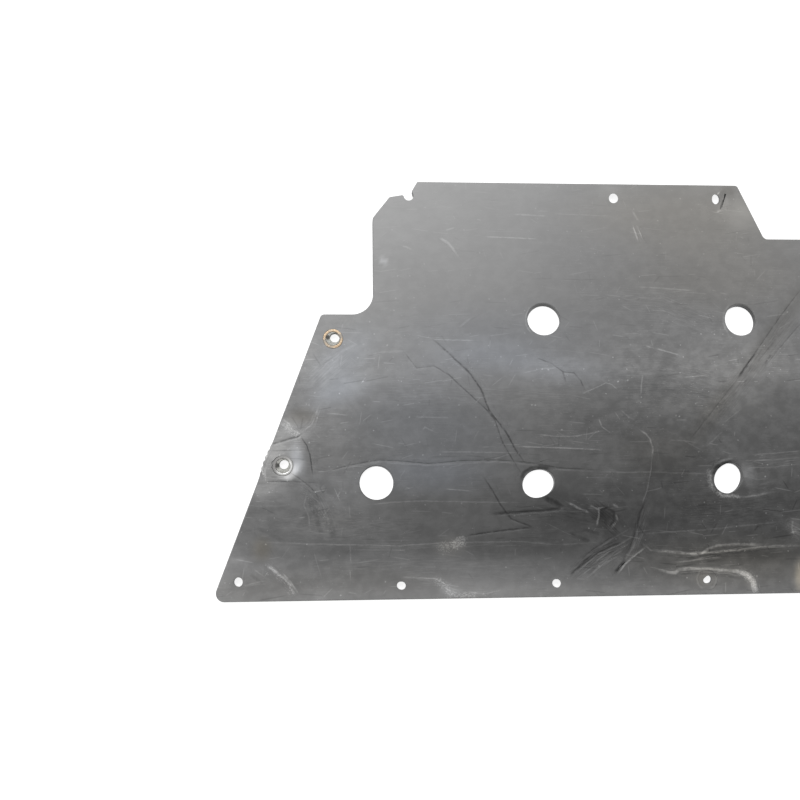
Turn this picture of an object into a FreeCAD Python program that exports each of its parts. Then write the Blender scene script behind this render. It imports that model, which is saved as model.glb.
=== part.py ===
# Skid plate: one flat sheet of hard plastic, cut to a wide trapezium with a narrower, notched upper part.
# It is bolted on along both long edges, and flanged metal bushes line the fixing holes at its sides.
# The scratched road side faces +Z. X runs along the width, with the middle of the plate at X = 0.
import FreeCAD
import Part
import os
import re
import Sketcher
from FreeCAD import Vector

# Driving dimensions, in millimetres: heights are taken from the plate's bottom edge
SIZES = (
    ("plate_thickness", 8.0, "thickness of the sheet"),
    ("plate_depth", 433.5, "bottom edge to top edge"),
    ("ear_width", 975.0, "width of the upper part"),
    ("ledge_width", 53.5, "level ledge from the upper part out to each shoulder"),
    ("flank_run", 105.0, "spread of each slanted side, shoulder to bottom corner"),
    ("shoulder_height", 288.0, "height of the shoulders"),
    ("ear_chamfer_width", 31.5, "corner cut of the upper part, along the top edge"),
    ("ear_chamfer_height", 41.0, "corner cut of the upper part, along its side"),
    ("notch_mouth_width", 183.0, "middle notch at the top edge"),
    ("notch_floor_width", 132.0, "middle notch at its floor"),
    ("notch_depth", 60.7, "middle notch, top edge to floor"),
    ("base_corner_radius", 8.5, "rounding of the bottom corners"),
    ("shoulder_radius", 4.5, "rounding of the shoulders"),
    ("step_radius", 22.0, "inside rounding below the upper part"),
    ("ear_radius", 8.0, "rounding of the corner cuts"),
    ("notch_mouth_radius", 4.0, "rounding at the notch mouth"),
    ("notch_floor_radius", 6.0, "inside rounding at the notch floor"),
    ("edge_break", 0.8, "chamfer along the sheet's edges"),
    ("access_diameter", 34.0, "large access holes"),
    ("access_break", 0.8, "chamfer round the access holes"),
    ("upper_access_height", 283.0, "upper row of access holes"),
    ("upper_access_inner", 101.0, "upper row, inner holes from the middle"),
    ("upper_access_pitch", 210.0, "upper row, inner to outer hole"),
    ("lower_access_height", 114.5, "lower row of access holes"),
    ("lower_access_inner", 127.0, "lower row, inner holes from the middle"),
    ("lower_access_pitch", 196.5, "lower row, inner to middle hole"),
    ("lower_access_end_pitch", 162.0, "lower row, middle to outer hole"),
    ("bolt_diameter", 9.0, "bolt holes along the bottom edge"),
    ("bolt_pitch", 154.5, "spacing of the bottom bolt holes"),
    ("bolt_inset", 14.5, "bottom bolt holes from the bottom edge"),
    ("corner_bolt_side", 25.0, "bolt holes in the bottom corners, in from the corner"),
    ("corner_bolt_inset", 19.0, "bolt holes in the bottom corners from the bottom edge"),
    ("top_bolt_diameter", 10.5, "bolt holes along the top edge"),
    ("top_bolt_inset", 16.0, "top bolt holes from the top edge"),
    ("top_bolt_side", 25.5, "inner top bolt holes from the notch mouth"),
    ("top_bolt_pitch", 112.0, "inner to outer top bolt hole"),
    ("ear_bolt_side", 38.5, "bolt holes in the upper corners, in from the side"),
    ("bush_bore", 14.5, "bore of the bushes"),
    ("bush_sleeve", 17.0, "outside of the bush sleeve"),
    ("bush_flange", 20.5, "outside of the bush flange"),
    ("bush_flange_thickness", 1.6, "thickness of the bush flange"),
    ("bush_lip", 0.6, "rounding of the bush flange"),
    ("bush_recess", 1.2, "depth of the flange seat in the sheet"),
    ("bush_clearance", 0.05, "gap between bush and sheet, all round"),
    ("shoulder_bush_side", 21.5, "bushes at the shoulders, in from the slanted side"),
    ("shoulder_bush_drop", 26.0, "bushes at the shoulders, down from the ledge"),
    ("flank_bush_side", 19.3, "bushes at the flanks, in from the slanted side"),
    ("flank_bush_height", 132.0, "bushes at the flanks"),
    ("washer_mark", 20.0, "ring worn in by a washer at one bottom bolt"),
    ("washer_mark_depth", 0.5, "depth of that worn ring"),
    ("break_reach", 45.0, "lost corner, past the hole on the outside"),
    ("break_slope", 6.0, "lost corner, fall of the fracture to the outside"),
    ("break_lip_width", 7.0, "lost corner, lip beside the hole"),
    ("break_lip_rise", 0.7, "lost corner, rise of that lip over the hole's middle"),
    ("break_horn_width", 3.7, "lost corner, tip of the horn over the hole"),
    ("break_horn_rise", 5.8, "lost corner, height of that tip"),
    ("break_top_width", 9.5, "lost corner, fracture at the top edge"),
    ("tear_top_offset", 11.5, "tear beside the inner top bolt, upper end"),
    ("tear_top_rise", 5.9, "tear, rise of the upper end over the hole's middle"),
    ("tear_foot_offset", 6.9, "tear, lower end from the hole's middle"),
    ("tear_foot_drop", 10.5, "tear, drop of the lower end under the hole's middle"),
    ("tear_width", 1.8, "width of the tear at its upper end"),
    ("gash_offset", 246.8, "gash over the bottom edge, its foot from the middle"),
    ("gash_height", 23.9, "gash, height of its foot"),
    ("gash_run", 10.4, "gash, foot to upper end along the width"),
    ("gash_rise", 9.8, "gash, foot to upper end upwards"),
    ("gash_width", 2.6, "width of the gash at its middle"),
)
ALIASES = {alias for alias, millimetres, meaning in SIZES}

doc = FreeCAD.newDocument("skid_plate")
sheet = doc.addObject("Spreadsheet::Sheet", "Sizes")
for row, (alias, millimetres, meaning) in enumerate(SIZES, start=1):
    sheet.set(f"A{row}", meaning)
    sheet.set(f"B{row}", str(millimetres))
    sheet.setAlias(f"B{row}", alias)
doc.recompute()


def bound(formula):
    """The formula as an expression that reads each size from the sheet."""
    return re.sub(r"\w+", lambda word: f"Sizes.{word[0]}" if word[0] in ALIASES else word[0], formula)


def value(formula):
    """What the formula comes to now, in millimetres."""
    return float(sheet.evalExpression(bound(formula)))


def set_formula(feature, name, formula):
    feature.setExpression(name, bound(formula))


def origin_plane(body, role):
    return next(plane for plane in body.Origin.OriginFeatures if plane.Role == role)


def sketch_on(body, name, role, height="0"):
    """A sketch on one of the body's origin planes, raised by a height."""
    sketch = body.newObject("Sketcher::SketchObject", name)
    sketch.AttachmentSupport = [(origin_plane(body, role), "")]
    sketch.MapMode = "FlatFace"
    set_formula(sketch, "AttachmentOffset.Base.z", height)
    return sketch


def dimension(sketch, formula, kind, *where):
    """A sketch dimension that follows a formula."""
    number = sketch.addConstraint(Sketcher.Constraint(kind, *where, value(formula)))
    set_formula(sketch, f"Constraints[{number}]", formula)


def polygon(sketch, corners):
    """A closed outline of straight lines, with each corner held at its two formulas."""
    points = [Vector(value(x), value(y), 0) for x, y in corners]
    following = points[1:] + points[:1]
    lines = [sketch.addGeometry(Part.LineSegment(*ends), False) for ends in zip(points, following)]
    for line, after in zip(lines, lines[1:] + lines[:1]):
        sketch.addConstraint(Sketcher.Constraint("Coincident", line, 2, after, 1))
    for line, (x, y) in zip(lines, corners):
        dimension(sketch, x, "DistanceX", line, 1)
        dimension(sketch, y, "DistanceY", line, 1)


def circles(sketch, diameter, centres):
    """Circles of one diameter, with each centre held at its two formulas."""
    for x, y in centres:
        circle = Part.Circle(Vector(value(x), value(y), 0), Vector(0, 0, 1), value(diameter) / 2)
        ring = sketch.addGeometry(circle, False)
        dimension(sketch, x, "DistanceX", ring, 3)
        dimension(sketch, y, "DistanceY", ring, 3)
        dimension(sketch, diameter, "Diameter", ring)


def cut(body, sketch, name, depth=None):
    """A pocket down from the sketch, right through or to a depth, that must remove something."""
    doc.recompute()
    before = body.Shape.Volume
    pocket = body.newObject("PartDesign::Pocket", name)
    pocket.Profile = (sketch, [""])
    if depth:
        set_formula(pocket, "Length", depth)
    else:
        pocket.Type = "ThroughAll"
    doc.recompute()
    if pocket.Shape.Volume >= before:
        raise RuntimeError(f"{name} removes nothing")
    return pocket


def mirror(body, feature, name):
    """The same feature again on the other side of the plate's middle."""
    twin = body.newObject("PartDesign::Mirrored", name)
    twin.Originals = [feature]
    twin.MirrorPlane = (origin_plane(body, "YZ_Plane"), [""])
    body.Tip = twin
    doc.recompute()
    return twin


def dress(body, kind, name, edges, size_name, size):
    """A fillet or chamfer on named edges of the body as it is so far."""
    so_far = body.Tip
    feature = body.newObject(kind, name)
    feature.Base = (so_far, edges)
    set_formula(feature, size_name, size)
    body.Tip = feature
    doc.recompute()


def edge_names(shape, wanted):
    return [f"Edge{number}" for number, edge in enumerate(shape.Edges, start=1) if wanted(edge)]


# Sheet: half of its outline from the bottom corner up to the notch, with each corner's rounding
BOTTOM = "-plate_depth / 2"
TOP = "plate_depth / 2"
LEDGE = f"{BOTTOM} + shoulder_height"
SHOULDER_X = "ear_width / 2 + ledge_width"
BASE_X = f"{SHOULDER_X} + flank_run"
HALF_OUTLINE = (
    ("BaseCorners", BASE_X, BOTTOM, "base_corner_radius"),
    ("Shoulders", SHOULDER_X, LEDGE, "shoulder_radius"),
    ("Steps", "ear_width / 2", LEDGE, "step_radius"),
    ("EarSides", "ear_width / 2", f"{TOP} - ear_chamfer_height", "ear_radius"),
    ("EarTops", "ear_width / 2 - ear_chamfer_width", TOP, "ear_radius"),
    ("NotchMouth", "notch_mouth_width / 2", TOP, "notch_mouth_radius"),
    ("NotchFloor", "notch_floor_width / 2", f"{TOP} - notch_depth", "notch_floor_radius"),
)
plate = doc.addObject("PartDesign::Body", "skid_plate")
plate.Label = "skid_plate"
outline = sketch_on(plate, "Outline", "XY_Plane")
right_half = [(x, y) for name, x, y, radius in HALF_OUTLINE]
left_half = [(f"-({x})", y) for x, y in reversed(right_half)]
polygon(outline, right_half + left_half)
sheet_pad = plate.newObject("PartDesign::Pad", "Sheet")
sheet_pad.Profile = (outline, [""])
set_formula(sheet_pad, "Length", "plate_thickness")
doc.recompute()

# Corners: each pair of upright edges, left and right, gets its rounding
SAME_PLACE = 0.01
for name, x, y, radius in HALF_OUTLINE:
    corner = Vector(value(x), value(y), 0)

    def stands_there(edge):
        middle = edge.CenterOfMass
        return Vector(abs(middle.x), middle.y, 0).distanceToPoint(corner) < SAME_PLACE

    dress(plate, "PartDesign::Fillet", name, edge_names(plate.Shape, stands_there), "Radius", radius)


def lies_flat(edge):
    """True for an edge in the top or bottom face of the sheet."""
    box = edge.BoundBox
    at_face = box.ZMin > value("plate_thickness") - SAME_PLACE or box.ZMax < SAME_PLACE
    return at_face and box.ZLength < SAME_PLACE


# Edges: the saw's sharp edge is broken all round on both faces
dress(plate, "PartDesign::Chamfer", "EdgeBreak", edge_names(plate.Shape, lies_flat), "Size", "edge_break")


def drilled(name, diameter, centres, depth=None):
    """Round holes through the sheet from its road side, or to a depth."""
    sketch = sketch_on(plate, f"{name}Sketch", "XY_Plane", "plate_thickness")
    circles(sketch, diameter, centres)
    return cut(plate, sketch, name, depth)


# Access holes: two rows of large holes, alike on both sides
UPPER_ACCESS = f"{BOTTOM} + upper_access_height"
LOWER_ACCESS = f"{BOTTOM} + lower_access_height"
access = drilled("AccessHoles", "access_diameter", (
    ("-upper_access_inner", UPPER_ACCESS),
    ("-upper_access_inner - upper_access_pitch", UPPER_ACCESS),
    ("-lower_access_inner", LOWER_ACCESS),
    ("-lower_access_inner - lower_access_pitch", LOWER_ACCESS),
    ("-lower_access_inner - lower_access_pitch - lower_access_end_pitch", LOWER_ACCESS),
))
mirror(plate, access, "AccessHolesRight")


def is_access_rim(edge):
    if not isinstance(edge.Curve, Part.Circle):
        return False
    same_size = abs(edge.Curve.Radius - value("access_diameter / 2")) < SAME_PLACE
    return same_size and lies_flat(edge)


access_rims = edge_names(plate.Shape, is_access_rim)
dress(plate, "PartDesign::Chamfer", "AccessBreak", access_rims, "Size", "access_break")

# Bottom bolts: an evenly spaced row, and a hole set higher in each corner
BOLT_COUNT = 7
ROW_LENGTH = f"{BOLT_COUNT - 1} * bolt_pitch"
BOLT_ROW = f"{BOTTOM} + bolt_inset"
first_bolt = drilled("BottomBolts", "bolt_diameter", ((f"-{ROW_LENGTH} / 2", BOLT_ROW),))
bolt_row = plate.newObject("PartDesign::LinearPattern", "BottomBoltRow")
bolt_row.Originals = [first_bolt]
bolt_row.Direction = (first_bolt.Profile[0], ["H_Axis"])
set_formula(bolt_row, "Length", ROW_LENGTH)
bolt_row.Occurrences = BOLT_COUNT
plate.Tip = bolt_row
doc.recompute()
CORNER_BOLT = f"{BOTTOM} + corner_bolt_inset"
corner_bolt = drilled("CornerBolts", "bolt_diameter", ((f"-({BASE_X}) + corner_bolt_side", CORNER_BOLT),))
mirror(plate, corner_bolt, "CornerBoltRight")
drilled("WasherMark", "washer_mark", (("-bolt_pitch", BOLT_ROW),), "washer_mark_depth")

# Top bolts: two pairs near the notch and one hole in each upper corner
TOP_BOLT = f"{TOP} - top_bolt_inset"
INNER_TOP_X = "-notch_mouth_width / 2 - top_bolt_side"
EAR_BOLT_X = "-ear_width / 2 + ear_bolt_side"
top_bolts = drilled("TopBolts", "top_bolt_diameter", (
    (INNER_TOP_X, TOP_BOLT),
    (f"{INNER_TOP_X} - top_bolt_pitch", TOP_BOLT),
    (EAR_BOLT_X, TOP_BOLT),
))
mirror(plate, top_bolts, "TopBoltsRight")

# Bush seats: a through hole for each sleeve and a shallow recess for its flange
FLANK_SLOPE = "flank_run / shoulder_height"
BUSH_PLACES = {
    "shoulder_bush": (
        f"{SHOULDER_X} + {FLANK_SLOPE} * shoulder_bush_drop - shoulder_bush_side",
        f"{LEDGE} - shoulder_bush_drop",
    ),
    "flank_bush": (
        f"{BASE_X} - {FLANK_SLOPE} * flank_bush_height - flank_bush_side",
        f"{BOTTOM} + flank_bush_height",
    ),
}
left_seats = [(f"-({x})", y) for x, y in BUSH_PLACES.values()]
sleeve_seats = drilled("SleeveSeats", "bush_sleeve + 2 * bush_clearance", left_seats)
mirror(plate, sleeve_seats, "SleeveSeatsRight")
flange_seats = drilled("FlangeSeats", "bush_flange + 2 * bush_clearance", left_seats, "bush_recess")
mirror(plate, flange_seats, "FlangeSeatsRight")

# Lost corner: the left upper corner is broken off through its bolt hole, up to the top edge
fracture = sketch_on(plate, "FractureSketch", "XY_Plane", "plate_thickness")
polygon(fracture, (
    (f"{EAR_BOLT_X} - break_reach", f"{TOP_BOLT} - break_slope"),
    (f"{EAR_BOLT_X} - break_lip_width", f"{TOP_BOLT} + break_lip_rise"),
    (f"{EAR_BOLT_X} - top_bolt_diameter / 2", TOP_BOLT),
    (f"{EAR_BOLT_X} + top_bolt_diameter / 2", TOP_BOLT),
    (f"{EAR_BOLT_X} + break_horn_width", f"{TOP_BOLT} + break_horn_rise"),
    (f"{EAR_BOLT_X} + break_top_width", f"{TOP}"),
    (f"{EAR_BOLT_X} + break_top_width", f"{TOP} + top_bolt_inset"),
    (f"{EAR_BOLT_X} - break_reach", f"{TOP} + top_bolt_inset"),
))
cut(plate, fracture, "Fracture")

# Tear: a narrow split beside the left inner top bolt
tear = sketch_on(plate, "TearSketch", "XY_Plane", "plate_thickness")
polygon(tear, (
    (f"{INNER_TOP_X} + tear_foot_offset", f"{TOP_BOLT} - tear_foot_drop"),
    (f"{INNER_TOP_X} + tear_top_offset + tear_width / 2", f"{TOP_BOLT} + tear_top_rise"),
    (f"{INNER_TOP_X} + tear_top_offset - tear_width / 2", f"{TOP_BOLT} + tear_top_rise"),
))
cut(plate, tear, "Tear")

# Gash: a ripped, pointed opening over the bottom edge, where the sheet has caught on the road
GASH_FOOT = f"{BOTTOM} + gash_height"
gash = sketch_on(plate, "GashSketch", "XY_Plane", "plate_thickness")
polygon(gash, (
    ("-gash_offset", GASH_FOOT),
    ("-gash_offset + gash_run", f"{GASH_FOOT} + gash_rise"),
    ("-gash_offset + gash_run / 2 - gash_width / 2", f"{GASH_FOOT} + gash_rise / 2 + gash_width / 2"),
))
cut(plate, gash, "Gash")

# Bushes: turned sleeves whose flange sits in the sheet's recess, with the far end level with its back
bushes = []
for kind, (x, y) in BUSH_PLACES.items():
    for side, sign in (("left", "-"), ("right", "")):
        bush = doc.addObject("PartDesign::Body", f"{kind}_{side}")
        bush.Label = f"{kind}_{side}"
        section = sketch_on(bush, f"{bush.Label}_section", "XZ_Plane")
        seat = "plate_thickness - bush_recess"
        polygon(section, (
            ("bush_bore / 2", "0"),
            ("bush_sleeve / 2", "0"),
            ("bush_sleeve / 2", seat),
            ("bush_flange / 2", seat),
            ("bush_flange / 2", f"{seat} + bush_flange_thickness"),
            ("bush_bore / 2", f"{seat} + bush_flange_thickness"),
        ))
        turned = bush.newObject("PartDesign::Revolution", f"{bush.Label}_turned")
        turned.Profile = (section, [""])
        turned.ReferenceAxis = (section, ["V_Axis"])
        turned.Angle = 360
        doc.recompute()

        def is_flange_rim(edge):
            return edge.BoundBox.ZMin > value(f"{seat} + bush_flange_thickness") - SAME_PLACE

        rims = edge_names(turned.Shape, is_flange_rim)
        dress(bush, "PartDesign::Fillet", f"{bush.Label}_lip", rims, "Radius", "bush_lip")
        set_formula(bush, "Placement.Base.x", f"{sign}({x})")
        set_formula(bush, "Placement.Base.y", y)
        bushes.append(bush)
doc.recompute()

# Every object has to be sound before anything is written
for item in doc.Objects:
    faults = {"Invalid", "Error"} & set(item.State)
    if faults:
        raise RuntimeError(f"{item.Label}: {faults}")
os.makedirs("parts", exist_ok=True)
for body in [plate] + bushes:
    if body.Shape.isNull() or not body.Shape.isValid():
        raise RuntimeError(f"{body.Label} has no valid shape")
    body.Shape.exportStep(f"parts/{body.Label}.step")
    print(body.Label, len(body.Shape.Solids), round(body.Shape.Volume, 1), body.Shape.BoundBox)
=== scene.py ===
import math

import bpy
import numpy as np
from mathutils import Euler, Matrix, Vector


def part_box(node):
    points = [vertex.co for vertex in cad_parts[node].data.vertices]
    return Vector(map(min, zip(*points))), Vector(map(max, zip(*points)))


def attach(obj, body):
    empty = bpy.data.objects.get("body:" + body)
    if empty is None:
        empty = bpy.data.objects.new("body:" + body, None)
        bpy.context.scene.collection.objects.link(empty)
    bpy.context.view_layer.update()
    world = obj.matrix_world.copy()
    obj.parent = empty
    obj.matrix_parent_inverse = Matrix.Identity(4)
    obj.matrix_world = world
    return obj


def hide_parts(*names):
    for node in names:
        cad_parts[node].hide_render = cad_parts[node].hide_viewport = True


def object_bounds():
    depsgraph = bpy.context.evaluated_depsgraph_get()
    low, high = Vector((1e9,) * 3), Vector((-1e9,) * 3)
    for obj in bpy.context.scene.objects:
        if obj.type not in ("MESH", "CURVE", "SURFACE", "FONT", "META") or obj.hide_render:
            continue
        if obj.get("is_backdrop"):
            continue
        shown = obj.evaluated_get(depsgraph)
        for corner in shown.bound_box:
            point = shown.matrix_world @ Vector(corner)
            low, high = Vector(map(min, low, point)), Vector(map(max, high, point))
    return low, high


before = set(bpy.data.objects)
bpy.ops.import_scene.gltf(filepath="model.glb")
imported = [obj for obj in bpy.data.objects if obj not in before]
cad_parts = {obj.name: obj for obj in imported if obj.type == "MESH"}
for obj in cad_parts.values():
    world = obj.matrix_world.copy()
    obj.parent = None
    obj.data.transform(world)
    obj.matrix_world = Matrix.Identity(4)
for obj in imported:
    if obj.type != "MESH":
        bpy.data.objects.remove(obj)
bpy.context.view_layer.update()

# View: the plate lies flat and is seen from above, over its left half, as a parts seller would picture it.
# The picture's right edge cuts the plate off, so the marks below are placed by the pixels they are seen at.
PHOTO_SIDE = 800
FOCAL_PIXELS = 900.0
SENSOR_WIDTH = 36.0
SHEET_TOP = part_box("skid_plate")[1].z
CAMERA_HEIGHT = 0.900
CAMERA_PLACE = (-0.516, -0.17275, SHEET_TOP + CAMERA_HEIGHT)
CAMERA_TURN = tuple(math.radians(degrees) for degrees in (9.75, -3.37, -0.74))
lens = bpy.data.cameras.new("photo_camera")
lens.sensor_width = SENSOR_WIDTH
lens.lens = SENSOR_WIDTH * FOCAL_PIXELS / PHOTO_SIDE
camera = bpy.data.objects.new("photo_camera", lens)
camera.location = CAMERA_PLACE
camera.rotation_euler = CAMERA_TURN
bpy.context.scene.collection.objects.link(camera)
bpy.context.scene.camera = camera
bpy.context.scene.view_settings.view_transform = "Standard"


def in_photo(places):
    """The pixels, x to the right and y down, at which places on the sheet's road side are seen."""
    flat = np.column_stack((places[:, 0], places[:, 1], np.full(len(places), SHEET_TOP)))
    turn = np.array(Euler(CAMERA_TURN).to_matrix())
    seen = (flat - np.array(CAMERA_PLACE)) @ turn
    across = seen[:, :2] / -seen[:, 2:] * FOCAL_PIXELS
    return np.column_stack((PHOTO_SIDE / 2 + across[:, 0], PHOTO_SIDE / 2 - across[:, 1]))


# Sheet: one flat panel of hard dark plastic, sawn to its outline and drilled, and scraped along the road.
# Its worn side is a fine net over the sawn panel, closer where it is creased or scored, pushed into dents.
NET_CELL = 0.004
NET_MARGIN = 0.004
NET_SKIN = 0.00002
FINE_REACH = 6.0
FINEST_REACH = 3.5

# Creases: folds and cracks, and dark lines of painted shade at hole rims, in the gash, by the scar and under
# the road lines, as half width in pixels, change of grey level, height in mm and path
CREASES = {
    "long fold": (0.9, -46, -0.5, ((435, 341), (453, 357), (470, 373), (481, 389), (489.5, 411), (505.6, 431),
                                   (516, 450), (523, 460))),
    "side fold, start": (0.6, -19, -0.2, ((405, 353), (411, 361), (417, 368), (434, 366), (442, 370))),
    "side fold": (0.7, -30, -0.4, ((436, 367), (449, 375), (464, 389), (488, 411), (495, 420), (503, 443),
                                   (513, 460), (522, 474))),
    "fold under the upper hole": (0.65, -28, -0.3, ((537.5, 358), (551.5, 363.6), (563.5, 372), (574, 373),
                                                   (581, 381), (586, 392))),
    "spur of that fold": (0.9, -26, -0.2, ((563, 372), (566, 382))),
    "fold below the middle": (0.9, -30, -0.4, ((485, 479), (493, 491), (501, 505), (511.5, 519), (532, 527))),
    "dragged groove": (1.7, -32, -0.5, ((493, 514), (520, 512.5), (563, 509))),
    "lower groove": (1.0, -30, -0.3, ((467.5, 535.5), (500, 531), (531, 527.4))),
    "groove from the dent": (2.8, -36, -0.6, ((545, 498), (556, 503), (564, 508.5))),
    "upper crack at the bush": (0.95, -46, -0.7, ((271, 445), (287, 439.5), (297, 437), (302, 434))),
    "side crack at the bush": (0.65, -46, -0.5, ((301, 437), (307, 446), (310, 455), (311.5, 464),
                                                 (312.5, 474))),
    "lower crack at the bush": (0.7, -24, -0.3, ((290, 472.5), (300, 479), (309, 486), (315, 492.5))),
    "score under the bush": (0.8, -34, -0.2, ((267, 481.5), (290, 481.5))),
    "score under the bush, on": (0.7, -16, -0.1, ((290, 481.5), (317, 483))),
    "blot under the bush": (3.0, -14, 0.0, ((309, 500), (316, 515), (322, 535))),
    "blot under the bush, right": (3.2, -13, 0.0, ((329, 519), (334, 538))),
    "smear at the left edge": (2.4, -11, 0.0, ((256, 528), (268, 532), (282, 541))),
    "smear at the corner bolt": (1.8, -11, 0.0, ((250, 574), (263, 584))),
    "blot left of the hollow": (2.2, -17, 0.0, ((570, 534), (580, 538), (590, 542))),
    "blot under the hollow": (1.8, -15, 0.0, ((582, 529), (600, 534))),
    "short score under the bush": (0.7, -22, -0.1, ((271, 477), (284, 477.5))),
    "score over the bush": (0.7, -24, -0.1, ((272, 451), (303, 450))),
    "forked mark": (0.7, -14, -0.1, ((315, 492), (320, 501), (324, 511))),
    "hooked mark": (0.8, -15, -0.1, ((323, 484), (320, 488), (323, 493), (326, 488))),
    "long seam": (0.7, -24, -0.2, ((312, 469.5), (329, 471), (346.7, 466), (361, 463), (379, 460), (398, 461),
                                   (429, 463.6), (459, 461), (495, 460), (525, 462), (561, 468), (601, 470))),
    "scrape, upper line": (0.65, -24, -0.2, ((801, 289), (780, 317), (758, 349), (738, 378))),
    "scrape, deep end": (1.4, -38, -0.3, ((756, 353), (748, 364), (739, 377))),
    "scrape, lower line": (0.7, -17, -0.2, ((801, 323), (784, 343), (764, 367))),
    "scrape, middle line": (0.6, -16, -0.1, ((777, 338), (758, 362))),
    "scrape, far end": (0.8, -14, -0.1, ((737, 380), (717, 405), (690, 440))),
    "shade of the scar": (1.1, -15, -0.3, ((646, 500), (640, 514), (636.5, 528), (630, 548), (621, 563))),
    "gouge over the bolt, long": (1.0, -26, -0.4, ((576, 571), (587, 562), (598, 553), (620, 543))),
    "gouge over the bolt, short": (1.3, -26, -0.3, ((571, 575), (580, 566), (589, 558))),
    "gouge over the bolt, upper": (0.8, -22, -0.2, ((583, 557), (598, 546), (612, 537))),
    "rim of the hollow": (1.4, -26, -0.4, ((600, 510), (607, 508), (614, 512), (615, 521), (610, 528))),
    "shade in the end of the gash": (1.6, -40, 0.0, ((615.5, 572), (620, 566), (625, 560.5))),
    "notch in the scrape": (1.0, -30, -0.2, ((771, 355), (764, 365))),
    "shade under the lower road line": (1.6, -15, 0.0, ((678, 573.5), (700, 573), (728, 575.5), (741, 579))),
    "shade under the upper road line": (1.2, -13, 0.0, ((660, 555), (690, 558), (716, 555), (742, 552),
                                                        (775, 549))),
    "foot of the tear": (0.7, -72, -0.3, ((723.6, 200), (722.4, 204), (720.6, 208.8))),
    "shade in the bent hole's rim": (1.8, -40, -0.3, ((521, 480), (524, 472.5), (530, 468.5), (540, 467),
                                              (551, 468.5))),
    "shade in the torn hole's rim": (1.9, -54, -0.3, ((713.5, 475), (717, 467.5), (723, 463.5), (733, 461.5))),
}
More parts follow.
